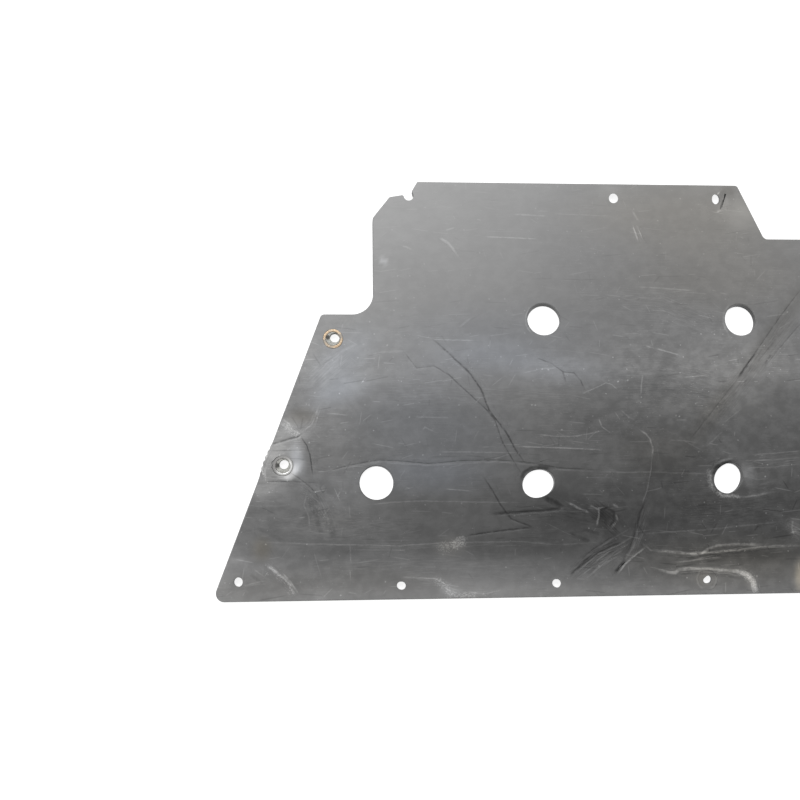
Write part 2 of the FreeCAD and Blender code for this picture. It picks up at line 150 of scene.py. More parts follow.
# Scratches: pale lines and burrs that stones have left, in the same way
SCRATCHES = {
    "under the top edge": (0.8, 18, 0.0, ((515, 214.4), (545, 216))),
    "under the top edge, lower": (0.6, 24, 0.0, ((486, 236.8), (536, 239))),
    "under the top edge, faint": (0.6, 10, 0.0, ((556, 214), (610, 216))),
    "curl at the left": (1.3, 22, 0.1, ((440, 238), (448, 243), (453, 249), (458, 256))),
    "tick over the curl": (0.8, 15, 0.0, ((446, 230), (454, 228))),
    "at the long fold": (0.7, 22, 0.0, ((433, 339.5), (472, 340.5))),
    "double stroke, left": (0.7, 40, 0.1, ((633, 226), (638, 240.5))),
    "double stroke, right": (0.6, 34, 0.1, ((637, 226), (642.5, 238.5))),
    "stroke over the double one": (1.2, 18, 0.0, ((633, 212), (638, 220))),
    "right of the upper hole": (0.7, 20, 0.0, ((639, 287), (660, 288), (692, 290.5))),
    "right of the upper hole, lower": (0.6, 14, 0.0, ((637, 297.5), (662, 298.5))),
    "slanted stroke": (0.7, 34, 0.1, ((646, 346), (661, 350), (679, 355))),
    "left of the holes": (0.8, 24, 0.0, ((326, 413.5), (348, 415))),
    "left of the folds": (0.6, 18, 0.0, ((416, 417), (450, 417.5))),
    "bright line": (0.7, 38, 0.1, ((518, 446.6), (560, 448), (602, 449.8))),
    "bent line": (0.7, 28, 0.0, ((538, 434.5), (556, 436.5), (573, 436.5), (588, 434), (603, 430.5))),
    "hook at the middle": (0.7, 34, 0.0, ((599, 419), (602, 427), (611, 433))),
    "faint line": (0.6, 20, 0.0, ((439, 452), (470, 452), (518, 452.8))),
    "line under the left hole": (0.7, 20, 0.0, ((366, 505), (390, 502.5), (420, 501), (470, 502),
                                               (518, 502.5))),
    "short line": (0.6, 26, 0.0, ((446, 489), (470, 491))),
    "low line": (0.8, 18, 0.0, ((262, 542), (310, 544), (400, 546), (440, 543), (520, 541.5), (560, 545),
                                (600, 542))),
    "line under the torn hole": (0.9, 20, 0.0, ((640, 534), (670, 532), (703, 530), (745, 525.5),
                                               (782, 521.5))),
    "little arc": (0.6, 30, 0.0, ((582, 394), (595, 388), (606, 383), (612, 384.5), (617, 389.5))),
    "upright stroke": (0.9, 28, 0.0, ((643, 375), (641.5, 384), (641, 394))),
    "edge of the seam": (0.8, 13, 0.0, ((312, 471.5), (346, 468), (379, 462.3), (429, 465.6), (495, 462),
                                        (525, 464), (561, 470), (600, 472))),
    "seam, right part": (0.8, 20, 0.0, ((600, 471), (622, 472.5), (650, 472), (711, 474))),
    "line at the left edge": (0.6, 12, 0.0, ((240, 506), (287, 506))),
    "second low line": (0.6, 13, 0.0, ((345, 550), (405, 550))),
    "dash on the second low line": (0.7, 30, 0.0, ((398, 550.5), (405, 550))),
    "upright line": (0.7, 22, 0.0, ((350, 546), (350.5, 555), (351, 563))),
    "upright line, lower": (0.7, 22, 0.0, ((350, 571), (350.5, 580))),
    "upright line, upper": (0.6, 13, 0.0, ((349, 504), (350, 518))),
    "crooked line under the bush": (0.8, 19, 0.0, ((307.5, 490), (304, 505), (309, 517.5), (309.5, 526))),
    "broad streak under the bush": (1.0, 13, 0.0, ((318, 496), (322.5, 505), (327.5, 517.5), (329, 526))),
    "tick at the left hole": (0.7, 24, 0.0, ((340, 492), (336, 499))),
    "tick under the bush": (0.7, 26, 0.0, ((299, 518), (305, 517.5))),
    "line from the corner bolt": (0.8, 22, 0.0, ((243, 586), (264, 581))),
    "line over the corner bolt": (0.7, 16, 0.0, ((255, 570), (265, 577.5))),
    "curved line over the bottom": (0.6, 14, 0.0, ((314, 552), (317, 563), (321, 576))),
    "curl by the folds": (0.8, 20, 0.0, ((423, 430), (425, 427), (428, 429), (433, 431))),
    "tick across the seam": (0.6, 18, 0.0, ((494, 459), (510, 454))),
    "line right of the bent hole": (0.6, 20, 0.0, ((583, 494), (602, 494.5))),
    "line past the bent hole": (0.5, 12, 0.0, ((586, 477.5), (614, 478))),
    "line to the blot": (0.5, 16, 0.0, ((546, 523), (560, 530), (575, 537))),
    "line along the bottom": (0.8, 22, 0.0, ((403, 577), (420, 578), (438, 579))),
    "curve along the bottom": (0.8, 18, 0.0, ((461, 591), (485, 594), (498, 591))),
    "stroke at the shoulder": (1.4, 13, 0.0, ((340, 352), (357, 344))),
    "stroke over the long fold": (1.0, 13, 0.0, ((460, 327), (472, 317))),
    "line to the side fold": (1.2, 12, 0.0, ((372, 355), (385, 352), (404, 351))),
    "stroke by the ear": (0.9, 16, 0.0, ((403, 246), (411, 249))),
    "line in the cloud": (0.7, 15, 0.0, ((524, 373), (540, 369), (556, 368))),
    "dash right of the upper hole": (0.6, 18, 0.0, ((651, 310), (666, 311))),
    "curve at the right": (0.7, 16, 0.0, ((669, 440), (685, 441), (701, 450))),
    "slant at the right": (0.8, 14, 0.0, ((707, 446), (722, 432))),
    "slant at the right, upper": (0.7, 14, 0.0, ((725, 422), (741, 409))),
    "fan, upper": (0.7, 15, 0.0, ((629, 529), (612, 539), (598, 549))),
    "fan, middle": (0.8, 19, 0.1, ((634, 536), (612, 549), (592, 565))),
    "fan, lower": (0.7, 16, 0.1, ((630, 543), (614, 553), (600, 567))),
    "scar, upper end": (0.8, 20, 0.1, ((622, 411), (629, 417), (634, 420))),
    "scar": (0.9, 38, 0.2, ((641, 430.5), (646, 434), (650, 439), (653, 449), (652, 459))),
    "scar, long part": (0.6, 28, 0.1, ((652, 458), (651, 470), (647, 491), (642, 504))),
    "scar, lower part": (0.8, 18, 0.2, ((638, 514), (636, 522), (637.5, 536), (633, 548), (626, 559))),
    "lip of the gash": (0.8, 46, 0.4, ((619, 572.5), (625, 564.5), (634, 556.5), (645, 547.5))),
    "flap at the gash": (1.0, 24, 0.2, ((643, 544), (648, 548), (653, 552))),
    "road line, upper": (1.5, 46, 0.2, ((654, 550.5), (673, 552), (694, 554.5), (703, 553), (709, 548.5),
                                        (718, 545.5), (732, 544.5), (761, 544.5))),
    "road line, long": (1.3, 38, 0.2, ((688, 553), (712, 552.5), (736, 550), (765, 546.5), (800, 545.5))),
    "road line, crest": (1.3, 16, 0.0, ((684, 553.5), (712, 552.5), (738, 549.5))),
    "road line, middle": (0.9, 32, 0.1, ((676, 562), (690, 561), (706, 558.5), (722, 557.5))),
    "road line, lower": (1.7, 52, 0.2, ((660, 570), (668, 572), (675, 573), (680, 569.5), (690, 568.5),
                                        (714, 569), (736, 571), (746, 574.5))),
    "road line, end": (2.8, 50, 0.2, ((740, 572), (748, 575), (752.5, 580.5), (754, 586), (756, 592))),
    "road line, faint": (0.7, 20, 0.0, ((650, 567), (664, 570))),
    "rim of the outer upper hole": (0.7, 22, 0.0, ((530, 307), (526, 315), (526, 325), (531, 333))),
    "rim of the inner upper hole": (1.1, 18, 0.0, ((729, 305), (724, 313), (723.5, 324), (728, 334))),
    "washer ring, left": (1.1, 20, 0.0, ((704, 588.5), (700.5, 586.5), (698, 583), (697, 579), (698, 575),
                                        (700.5, 571.5))),
    "washer ring, right": (1.2, 20, 0.0, ((715.5, 575), (717, 579), (716.3, 583), (713.5, 587), (710, 589))),
    "hollow, left stroke": (1.2, 56, 0.2, ((569, 503), (578, 508), (589, 512.5))),
    "hollow, upright stroke": (1.1, 56, 0.2, ((599.5, 507), (599, 517), (597, 525))),
    "hollow, chip": (1.3, 42, 0.3, ((613, 505), (618, 507))),
    "hollow, lower chip": (1.0, 40, 0.2, ((616, 515), (618, 520))),
    "hollow, top stroke": (1.0, 44, 0.1, ((590, 505), (597, 509), (604, 507))),
    "torn hole, left burr": (1.4, 44, 0.4, ((711, 474), (711, 481), (713, 487))),
    "torn hole, lower burr": (1.4, 44, 0.4, ((718, 493), (725, 495.5), (734, 494.5))),
    "torn hole, upper burr": (1.3, 30, 0.3, ((718, 463), (724, 460), (733, 459))),
    "flap edge at the torn hole": (1.1, 36, 0.3, ((734, 496.5), (745, 497), (757, 495.5), (769, 492.5))),
    "scuffed corner, line": (1.3, 38, 0.0, ((268, 566), (277, 573), (286, 580), (293, 587))),
    "scuffed corner, edge": (0.8, 28, 0.0, ((283, 574), (291, 582), (298, 593))),
    "scuffed corner, low": (0.7, 14, 0.0, ((245, 587), (258, 584), (266, 584))),
    "chip on the left edge": (1.2, 30, 0.0, ((267, 452), (263, 461), (262, 470), (266, 478))),
    "scrape by the left edge": (0.9, 34, 0.0, ((283, 419), (289, 424), (293, 432))),
    "scrape by the left edge, inner": (0.9, 26, 0.0, ((285, 427), (292, 430), (300, 434))),
    "scrape above the bush": (0.9, 24, 0.0, ((302, 432), (311, 425), (315, 417), (318, 409))),
    "rub at the right edge, top": (0.8, 26, 0.0, ((790, 518.5), (801, 519.5))),
    "rub at the right edge, side": (0.9, 24, 0.0, ((793, 521), (792, 528), (794, 535))),
    "rub at the right edge, low": (0.8, 26, 0.0, ((790, 533), (796, 531), (801, 533))),
    "bundle right of the torn hole": (0.7, 22, 0.0, ((752, 455), (770, 453.5), (800, 451))),
    "bundle, middle": (0.7, 20, 0.0, ((744, 461), (770, 460), (800, 457.5))),
    "bundle, lower": (0.6, 16, 0.0, ((748, 468), (775, 467), (800, 464))),
    "crumbs under the tear": (1.1, 30, 0.2, ((717.5, 211.5), (721.5, 210.5))),
    "chip over the tear": (0.9, 64, 0.1, ((717.6, 194.6), (719, 192.4))),
}
# Dents: where the panel is pushed down or up, as middle, half length, half width, turn and height in mm
DENTS = {
    "rise beside the scraped bush": ((300, 461), 15, 7, 82, 1.5),
    "sunk edge beside the bush": ((268, 463), 18, 10, 82, -0.7),
    "fall over the upper crack": ((287, 428), 18, 9, -20, 0.5),
    "flap at the torn hole": ((752, 482), 18, 9, 5, 1.4),
    "sunk side of the torn hole": ((716, 468), 16, 9, 40, -1.1),
    "sunk side of the bent hole": ((527, 473), 14, 9, 50, -1.0),
    "dent right of the bent hole": ((556, 503), 16, 7, 30, -0.9),
    "dent at the tear": ((716, 203), 12, 9, 60, -0.8),
    "lip of the tear": ((729, 199), 10, 4, 70, 0.6),
    "hollow": ((607, 518), 11, 8, 70, -1.3),
    "heave along the scar": ((636, 532), 26, 7, 76, 0.7),
    "sunk path of the scrape": ((775, 335), 60, 12, -54, -0.5),
    "low corner": ((240, 575), 60, 35, 0, 0.6),
    "sag between the bolts": ((480, 520), 120, 50, 0, -0.7),
}
# Bent holes: pushed askew by a rock or worn by a bolt, as middle, drilled radius, short and long radius,
# turn, shift of the hole, and shift of its rim at the back of the panel
BENT_HOLES = {
    "middle hole": ((537.5, 482.5), 17.0, 13.8, 16.9, -22, (1.8, 2.0), (0.0, 0.0)),
    "torn hole": ((727, 478), 17.0, 13.7, 16.8, -50, (2.6, -1.8), (0.0, 0.0)),
    "outer upper hole": ((542.5, 319.5), 17.0, 17.0, 17.0, 0, (1.0, -0.4), (1.3, 1.4)),
    "inner upper hole": ((739.0, 319.5), 17.0, 16.4, 17.0, 90, (1.4, -0.4), (0.5, 1.2)),
    "outer top hole": ((612.9, 197.1), 5.25, 5.0, 5.6, 90, (0.2, 0.2), (2.6, -3.0)),
    "inner top hole": ((715.0, 198.8), 5.25, 4.4, 5.6, 90, (1.1, -0.1), (1.9, -2.9)),
    "bolt hole at the right": ((706.4, 579.4), 4.5, 3.3, 4.6, -30, (0.2, 0.0), (1.9, 0.0)),
    "bolt hole in the middle": ((554.5, 582.0), 4.5, 4.2, 4.6, 0, (1.6, 1.0), (1.2, 0.6)),
    "bolt hole at the left": ((399.5, 584.2), 4.5, 4.0, 4.6, 0, (1.7, 1.0), (0.0, 0.6)),
}
HOLE_PULL = 1.9
LEAN_PULL = 3.2
# Edge bulge: the left edge is pushed out in a ragged lip beside the scraped bush, measured in metres
BULGE_RISE = 0.006
BULGE_HALF = 0.022
BULGE_REACH = 0.012
BULGE_FULL = 0.004
BULGE_PUSH = 0.0026
BULGE_RAGS = 0.0055
BULGE_CUTS = 33
RAG_MIDDLE = 0.7
RAG_SWING = 0.3
RAG_TURN = 2.0

# Tone: grey level down the panel, lighter at the top partly as painted sheen, and how much lighter or darker
# it is across, at pixels of the photo
TONE_DOWN = ((182, 154), (230, 147), (270, 140), (310, 134), (350, 135), (372, 131), (390, 117), (430, 103),
             (470, 97), (500, 85), (530, 80), (550, 89), (570, 113), (592, 132))
TONE_ACROSS = ((220, 26), (340, 12), (420, 4), (500, 0), (580, -10), (660, -14), (740, -9), (800, -9))
BACK_TONE = 92
BACK_WEAR = 0.7
# Wear: how strongly the panel is blotched and scratched, down it and across it
WEAR_DOWN = ((182, 0.5), (250, 0.6), (310, 0.85), (360, 1.35), (430, 1.35), (510, 1.25), (592, 1.2))
WEAR_ACROSS = ((220, 1.2), (340, 1.1), (440, 0.75), (560, 0.9), (640, 1.25), (720, 1.3), (800, 1.2))
# Worn spots: places blotched more than the rest, as middle, half length, half width, turn and how much more
WORN_SPOTS = {
    "right middle": ((680, 380), 90, 50, 0, 0.5),
    "under the bush": ((318, 508), 22, 32, 0, 1.0),
    "right of the torn hole": ((770, 500), 50, 40, 0, 0.4),
    "round the hollow": ((605, 525), 40, 30, 0, 0.5),
}
# Patches: middle, half length, half width, turn, change of grey level and of warmth. The sheen, glow and
# bright patches and the pale and blue clouds across the middle are painted sheen and highlight, and the warm
# and blue tints painted reflection; the brown and green patches are stains.
PATCHES = {
    "sheen at the left edge": ((284, 440), 36, 20, -40, 36, 0),
    "sheen at the edge bulge": ((270, 466), 16, 34, 20, 20, 0.5),
    # Painted highlight round the scraped bush: its glow, sheen and bright ring
    "glow round the bush": ((286, 467), 16, 15, 0, 21, 0),
    "sheen beside the bush": ((298, 460), 18, 9, 82, 48, -2),
    "bright ring at the bush": ((292.5, 472), 10, 5.5, -50, 84, 0),
    "bright under the bush": ((284, 477), 8, 3.5, 10, 66, 0),
    "sheen right of the cracks": ((335, 488), 48, 26, 0, 12, -0.5),
    "sheen at the shoulder": ((340, 364), 50, 26, -50, 10, -2.5),
    "sheen under the shoulder": ((342, 393), 36, 16, -20, 27, -2),
    "blue sheen": ((430, 430), 90, 60, 20, 1, -2.5),
    "blue sheen, lower": ((425, 476), 70, 22, 0, 13, -2.5),
    "blue cloud": ((490, 345), 120, 44, 0, 0, -2),
    "pale lower left": ((320, 518), 110, 26, 0, 7, 0),
    "dull left of the folds": ((440, 412), 70, 18, 0, -7, 0),
    "dull over the cloud": ((500, 330), 60, 14, 0, -4, 0),
    "pale right of the scar": ((705, 408), 80, 16, 0, 9, 0.5),
    "dull right of the scar": ((668, 472), 46, 22, 0, -8, 0.5),
    "dull under the grooves": ((520, 547), 80, 16, 0, -13, 0),
    "dull under the road lines": ((745, 555), 52, 10, 0, -17, 1),
    "dull over the bottom": ((362, 582), 90, 20, 0, -17, 1),
    "pale cloud": ((490, 356), 60, 20, 0, 4, -1.5),
    "pale cloud, right": ((568, 371), 60, 18, 5, 14, -1.5),
    "pale at the notch": ((742, 213), 22, 16, 0, 15, 0),
    "pale left edge": ((264, 490), 26, 14, 0, 23, 0),
    "pale under the cracks": ((331, 521), 30, 14, 0, 7, 0.5),
    "pale cloud at the scrape": ((738, 372), 80, 40, 0, 10, 0.5),
    "brown patch": ((301, 416), 16, 9, 0, -20, 3),
    "brown patch, lower": ((262, 549), 11, 13, 0, -3, 6),
    "dark middle": ((585, 500), 60, 26, 8, -9, 0),
    "dark under the dent": ((565, 517), 40, 12, 5, -8, 0),
    "dark gouges": ((608, 517), 15, 12, 0, -20, 1),
    "dark right": ((690, 505), 60, 22, -8, -5, 0.5),
    "dull scrape band": ((775, 332), 70, 13, -54, -8, 1),
    "dull scrape band, end": ((712, 412), 45, 12, -54, -3, 1.5),
    # Painted warm reflection on the right side
    "warm top right": ((690, 215), 120, 42, 0, 1, 3),
    "warm right": ((720, 275), 110, 40, 0, 0, 2),
    "warm middle right": ((660, 450), 50, 26, 0, 0, 1.5),
    "warm bottom right": ((730, 560), 110, 30, 0, 1, 3),
    "dull bottom left": ((258, 590), 60, 20, 0, -24, 1),
    "dull lower left": ((310, 556), 90, 20, 0, -6, 0),
    "pale bottom": ((600, 592), 160, 16, 0, 10, 0.5),
    "flap sheen": ((747, 475), 10, 13, -20, 32, -0.5),
    "green patch": ((801, 576), 8, 19, 0, 56, 8),
    "scuffed right": ((795, 526), 8, 11, 0, 24, 0.5),
    # A darker patch over the tear, beside its dent
    "darker over the tear": ((728, 191), 9, 6, 0, -16, 1),
    "shade by the tear": ((722.5, 197), 4, 8, 15, -15, 0),
    "pale rim at the washer": ((704, 579), 10, 9, 0, 13, 2),
    "pale streak at the bottom": ((432, 578), 34, 4, 4, 10, 0),
    "white bloom": ((450, 590), 12, 8, 25, 22, -0.5),
    "end of the road lines": ((751, 583), 6, 9, -25, 20, 1),
    "bloom at the corner": ((238, 561), 10, 4, 12, 22, 0),
    "pale top left": ((383.5, 261), 6, 3.4, 35, 36, -1),
    "speck at the top left": ((398, 238), 1.6, 1.6, 0, 28, 0),
    "haze at the corner hole": ((610, 190), 14, 10, 0, 9, 0),
    "rubbed specks": ((450, 546), 18, 11, -8, 17, 2),
}
# Scuffs: places rubbed to pale specks, as half width, strength and path
SCUFFS = {
    "specks by the low line": (13, 1.0, ((442, 548), (451, 546))),
    "specks by the low line, dense": (11, 1.3, ((456, 544), (462, 541))),
    "rubbed corner": (5, 1.0, ((267, 565), (282, 577), (295, 594))),
    "rubbed corner, thin": (9, 0.72, ((268, 572), (282, 585), (294, 598))),
    "rubbed left edge": (8, 1.05, ((279, 420), (288, 429), (298, 436))),
    "rubbed edge at the bush": (4, 0.9, ((268, 452), (262, 466), (266, 480))),
    "bloom along the bottom": (9, 1.05, ((438, 581), (446, 586), (449, 594))),
    "bloom along the bottom, low": (7, 1.05, ((448, 592), (460, 596), (474, 595))),
    "bloom along the bottom, right": (5, 0.75, ((470, 593), (485, 594), (500, 591))),
    "rubbed right side": (10, 0.7, ((786, 522), (796, 538))),
    "road rub": (6, 0.7, ((690, 571), (738, 572))),
    "end of the road rub": (8, 1.05, ((740, 572.5), (749, 576.5), (753.5, 583), (755.5, 593))),
    "rub round the torn hole": (5, 1.2, ((709, 471), (710, 486), (721, 496), (738, 497))),
    "rub over the gash": (5, 0.7, ((576, 571), (600, 555), (625, 560), (645, 548))),
    "rub at the tear": (4, 0.7, ((706, 206), (718, 212), (730, 204))),
    "rub under the bush": (13, 0.75, ((305, 490), (316, 508), (330, 530))),
    "rub across the corner": (16, 0.3, ((235, 560), (300, 580), (420, 590))),
}
# Combed scrapes: bundles of fine lines that follow a path, as half width, change of grey level and path
COMBS = {
    "rubbed corner": (5, 20, ((266, 563), (282, 577), (297, 594))),
    "rubbed left edge": (8, 20, ((277, 419), (288, 428), (301, 438))),
    "chipped edge": (5, 40, ((270, 446), (263, 462), (262, 482))),
    "scrape band, dark": (14, -11, ((806, 300), (757, 362), (700, 432))),
    "scrape band, pale": (12, 7, ((806, 312), (760, 368), (705, 436))),
    "gouges over the bolt, dark": (9, -30, ((568, 577), (596, 555), (626, 541))),
    "gouges over the bolt, pale": (8, 26, ((574, 583), (602, 563), (630, 546))),
    "beside the scar, dark": (6, -15, ((646, 498), (637, 528), (621, 565))),
    "beside the scar, pale": (5, 22, ((652, 498), (641, 532), (628, 562))),
    "road lines, upper": (5, 26, ((652, 552), (700, 556), (745, 548), (803, 546))),
    "road lines, lower": (5, 34, ((660, 571), (700, 570), (742, 573), (752.5, 580), (756, 593))),
    "right of the torn hole": (10, 16, ((738, 466), (770, 462), (805, 457))),
    "under the middle hole": (11, -18, ((488, 514), (556, 511), (612, 522))),
    "round the hollow": (13, -24, ((588, 503), (606, 518), (622, 536))),
    "bottom bloom": (6, 18, ((400, 579), (440, 582), (452, 591), (500, 594))),
    "right side rub": (10, 22, ((782, 522), (806, 535))),
    "below the bush, dark": (9, -11, ((298, 484), (318, 500), (332, 524))),
    "below the bush, pale": (9, 8, ((302, 490), (320, 506), (336, 526))),
    "low line": (4, 12, ((255, 545), (420, 546), (600, 543))),
    "over the upper crack": (8, 16, ((300, 434), (312, 424), (320, 405))),
    "flap of the torn hole": (8, 16, ((742, 478), (758, 482), (772, 480))),
    "long rub": (16, 9, ((340, 390), (460, 395), (620, 400))),
    "right middle": (22, 9, ((590, 372), (660, 370), (740, 392))),
    "right middle, dark": (20, -8, ((600, 398), (670, 392), (730, 408))),
    "right of the upper hole": (20, 10, ((600, 300), (660, 305), (720, 330))),
    "left of the low line": (14, 8, ((240, 514), (330, 530), (430, 522))),
    "left of the low line, dark": (14, -7, ((250, 532), (330, 516), (430, 534))),
    "over the bottom edge": (12, 10, ((300, 566), (420, 564), (540, 566))),
    "under the torn hole": (16, -12, ((660, 508), (720, 514), (790, 504))),
    "shoulder strokes": (16, 12, ((306, 388), (330, 366), (352, 348))),
}


def side_of(points, path):
    """How far each point is from a path, with a minus on its right, and how far along the path that is."""
    path = np.asarray(path, float)
    runs = np.linalg.norm(np.diff(path, axis=0), axis=1)
    starts = np.concatenate(((0.0,), np.cumsum(runs)))
    nearest = np.full(len(points), np.inf)
    signed = np.zeros(len(points))
    along = np.zeros(len(points))
    for start, end, run, before in zip(path[:-1], path[1:], runs, starts):
        heading = (end - start) / run
        offset = points - start
        reach = np.clip(offset @ heading, 0.0, run)
        gap = np.linalg.norm(offset - reach[:, None] * heading, axis=1)
        turn = heading[0] * offset[:, 1] - heading[1] * offset[:, 0]
        closer = gap < nearest
        nearest = np.where(closer, gap, nearest)
        signed = np.where(closer, np.where(turn < 0, -gap, gap), signed)
        along = np.where(closer, (before + reach) / starts[-1], along)
    return signed, along


def beside(points, path, reach):
    """Which points lie within reach of a path, and for those what side_of says."""
    low = np.min(path, axis=0) - reach
    high = np.max(path, axis=0) + reach
    around = np.flatnonzero(np.all((points > low) & (points < high), axis=1))
    signed, along = side_of(points[around], path)
    close = np.abs(signed) < reach
    return around[close], signed[close], along[close]


def ease(low, high, amount):
    """A smooth step from 0 at low to 1 at high."""
    share = np.clip((amount - low) / (high - low), 0.0, 1.0)
    return share * share * (3.0 - 2.0 * share)


PATCH_CORE = 0.15
PATCH_EDGE = 1.35


def in_patch(points, middle, half_length, half_width, turn):
    """A soft oval: 1 at its middle, 0 outside."""
    angle = math.radians(turn)
    offset = points - np.array(middle, float)
    along = offset @ np.array((math.cos(angle), math.sin(angle))) / half_length
    across = offset @ np.array((-math.sin(angle), math.cos(angle))) / half_width
    return 1.0 - ease(PATCH_CORE, PATCH_EDGE, np.hypot(along, across))


LINES = list(CREASES.values()) + list(SCRATCHES.values())


def near_marks(points, reach):
    """Which points lie within reach of a crease or scratch."""
    close = np.zeros(len(points), bool)
    for half_width, change, height, path in LINES:
        around, signed, along = beside(points, path, reach)
        close[around] = True
    return close


def take_up(item):
    """Makes one object the only one selected, and the active one."""
    bpy.ops.object.select_all(action="DESELECT")
    item.select_set(True)
    bpy.context.view_layer.objects.active = item


def choose_faces(item, chosen):
    """Opens an object for editing with only the chosen faces selected."""
    bpy.ops.object.mode_set(mode="EDIT")
    bpy.ops.mesh.select_mode(type="FACE")
    bpy.ops.mesh.select_all(action="DESELECT")
    bpy.ops.object.mode_set(mode="OBJECT")
    item.data.polygons.foreach_set("select", chosen)
    bpy.ops.object.mode_set(mode="EDIT")


# Net: a level grid over the panel, divided again along its marks, and thickened to cut the panel's top
panel_low, panel_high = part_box("skid_plate")
net_size = [panel_high[axis] - panel_low[axis] + 2 * NET_MARGIN for axis in (0, 1)]
net_cells = [round(size / NET_CELL) for size in net_size]
bpy.ops.object.select_all(action="DESELECT")
bpy.ops.mesh.primitive_grid_add(x_subdivisions=net_cells[0], y_subdivisions=net_cells[1], size=1.0)
net = bpy.context.object
net.scale = (net_size[0], net_size[1], 1.0)
net.location = (0.0, 0.0, SHEET_TOP - NET_SKIN)
bpy.ops.object.transform_apply(location=True, rotation=False, scale=True)
for reach in (FINE_REACH, FINEST_REACH):
    centres = np.zeros(3 * len(net.data.polygons))
    net.data.polygons.foreach_get("center", centres)
    choose_faces(net, near_marks(in_photo(centres.reshape(-1, 3)), reach))
    bpy.ops.mesh.subdivide(number_cuts=1)
    bpy.ops.object.mode_set(mode="OBJECT")
bpy.ops.object.mode_set(mode="EDIT")
bpy.ops.mesh.select_all(action="SELECT")
bpy.ops.mesh.extrude_region_move(TRANSFORM_OT_translate={"value": (0.0, 0.0, -2.0 * panel_high.z)})
bpy.ops.mesh.select_all(action="SELECT")
bpy.ops.mesh.normals_make_consistent(inside=False)
bpy.ops.object.mode_set(mode="OBJECT")

# Panel: the sawn and drilled sheet, with the net as its worn side
MERGE_GAP = 0.000001
panel = bpy.data.objects.new("worn_panel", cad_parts["skid_plate"].data.copy())
bpy.context.scene.collection.objects.link(panel)
take_up(panel)
bpy.ops.object.mode_set(mode="EDIT")
bpy.ops.mesh.select_all(action="SELECT")
bpy.ops.mesh.remove_doubles(threshold=MERGE_GAP)
bpy.ops.object.mode_set(mode="OBJECT")
bpy.ops.mesh.customdata_custom_splitnormals_clear()

# Left edge: its wall beside the bush is cut across, so that it can be pushed out there
bush_low, bush_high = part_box("flank_bush_left")
bulge_middle = (bush_low.y + bush_high.y) / 2 + BULGE_RISE
LEFT_FACING = -0.5


def left_of_bush(places):
    """How far places lie to the left of the scraped bush's left side."""
    return bush_low.x - places[:, 0]


for height in np.linspace(bulge_middle - BULGE_HALF, bulge_middle + BULGE_HALF, BULGE_CUTS):
    faces = panel.data.polygons
    normals = np.zeros(3 * len(faces))
    faces.foreach_get("normal", normals)
    outward = normals.reshape(-1, 3)[:, 0] < LEFT_FACING
    spans = np.array([min(panel.data.vertices[v].co.x for v in face.vertices) for face in faces])
    choose_faces(panel, outward & (spans < bush_low.x))
    bpy.ops.mesh.bisect(plane_co=(0.0, height, 0.0), plane_no=(0.0, 1.0, 0.0))
    bpy.ops.object.mode_set(mode="OBJECT")
facing = panel.modifiers.new("worn side", "BOOLEAN")
facing.operation = "INTERSECT"
facing.solver = "MANIFOLD"
facing.object = net
bpy.ops.object.modifier_apply(modifier=facing.name)
bpy.data.objects.remove(net)

# Dents and bent holes: points of the worn side move up or down, and the bent holes' walls move sideways
LIFT_FROM = 0.004
LIFT_FULL = 0.0014
SKIN_DEPTH = 0.0002
MM = 0.001
PIXEL = 0.001
LINE_CORE = 0.2
LINE_SOFT = 1.0
END_RISE = 6.0
places = np.zeros(3 * len(panel.data.vertices))
panel.data.vertices.foreach_get("co", places)
places = places.reshape(-1, 3)
points = in_photo(places)
below = SHEET_TOP - places[:, 2]
on_top = below < LIFT_FULL
rise = np.zeros(len(points))
for middle, half_length, half_width, turn, height in DENTS.values():
    rise += height * in_patch(points, middle, half_length, half_width, turn)
for half_width, change, height, path in LINES:
    around, signed, along = beside(points, path, LINE_SOFT + half_width)
    profile = 1.0 - ease(LINE_CORE * half_width, LINE_SOFT + half_width, np.abs(signed))
    ends = np.minimum(1.0, END_RISE * np.minimum(along, 1.0 - along))
    rise[around] += np.where(below[around] < SKIN_DEPTH, height * profile * ends, 0.0)
sideways = np.zeros((len(points), 2))
for middle, drilled, short_radius, long_radius, turn, shift, lean in BENT_HOLES.values():
    angle = math.radians(turn)
    offset = points - np.array(middle, float)
    away = np.linalg.norm(offset, axis=1)
    heading = offset / np.maximum(away, 1.0)[:, None]
    along = heading @ np.array((math.cos(angle), math.sin(angle)))
    rim = long_radius - (long_radius - short_radius) * (1.0 - along ** 2)
    pull = 1.0 - ease(drilled, HOLE_PULL * drilled, away)
    sideways += (heading * (rim - drilled)[:, None] + np.array(shift)) * pull[:, None]
    wide_pull = 1.0 - ease(drilled, LEAN_PULL * drilled, away)
    sideways += np.array(lean) * (wide_pull * np.clip(below / SHEET_TOP, 0.0, 1.0))[:, None]
beside_bush = 1.0 - ease(0.0, BULGE_HALF, np.abs(places[:, 1] - bulge_middle))
outside_bush = ease(-BULGE_REACH, BULGE_FULL, left_of_bush(places))
rags = np.sin(places[:, 1] / BULGE_RAGS * math.tau) * np.sin(places[:, 2] / SHEET_TOP * RAG_TURN)
ragged = RAG_MIDDLE + RAG_SWING * rags
places[:, 0] -= BULGE_PUSH * ragged * beside_bush * outside_bush
places[:, 0] += sideways[:, 0] * PIXEL
places[:, 1] -= sideways[:, 1] * PIXEL
places[:, 2] += rise * MM * (1.0 - ease(LIFT_FULL, LIFT_FROM, below))
panel.data.vertices.foreach_set("co", places.ravel())
panel.data.update()
points = in_photo(places)

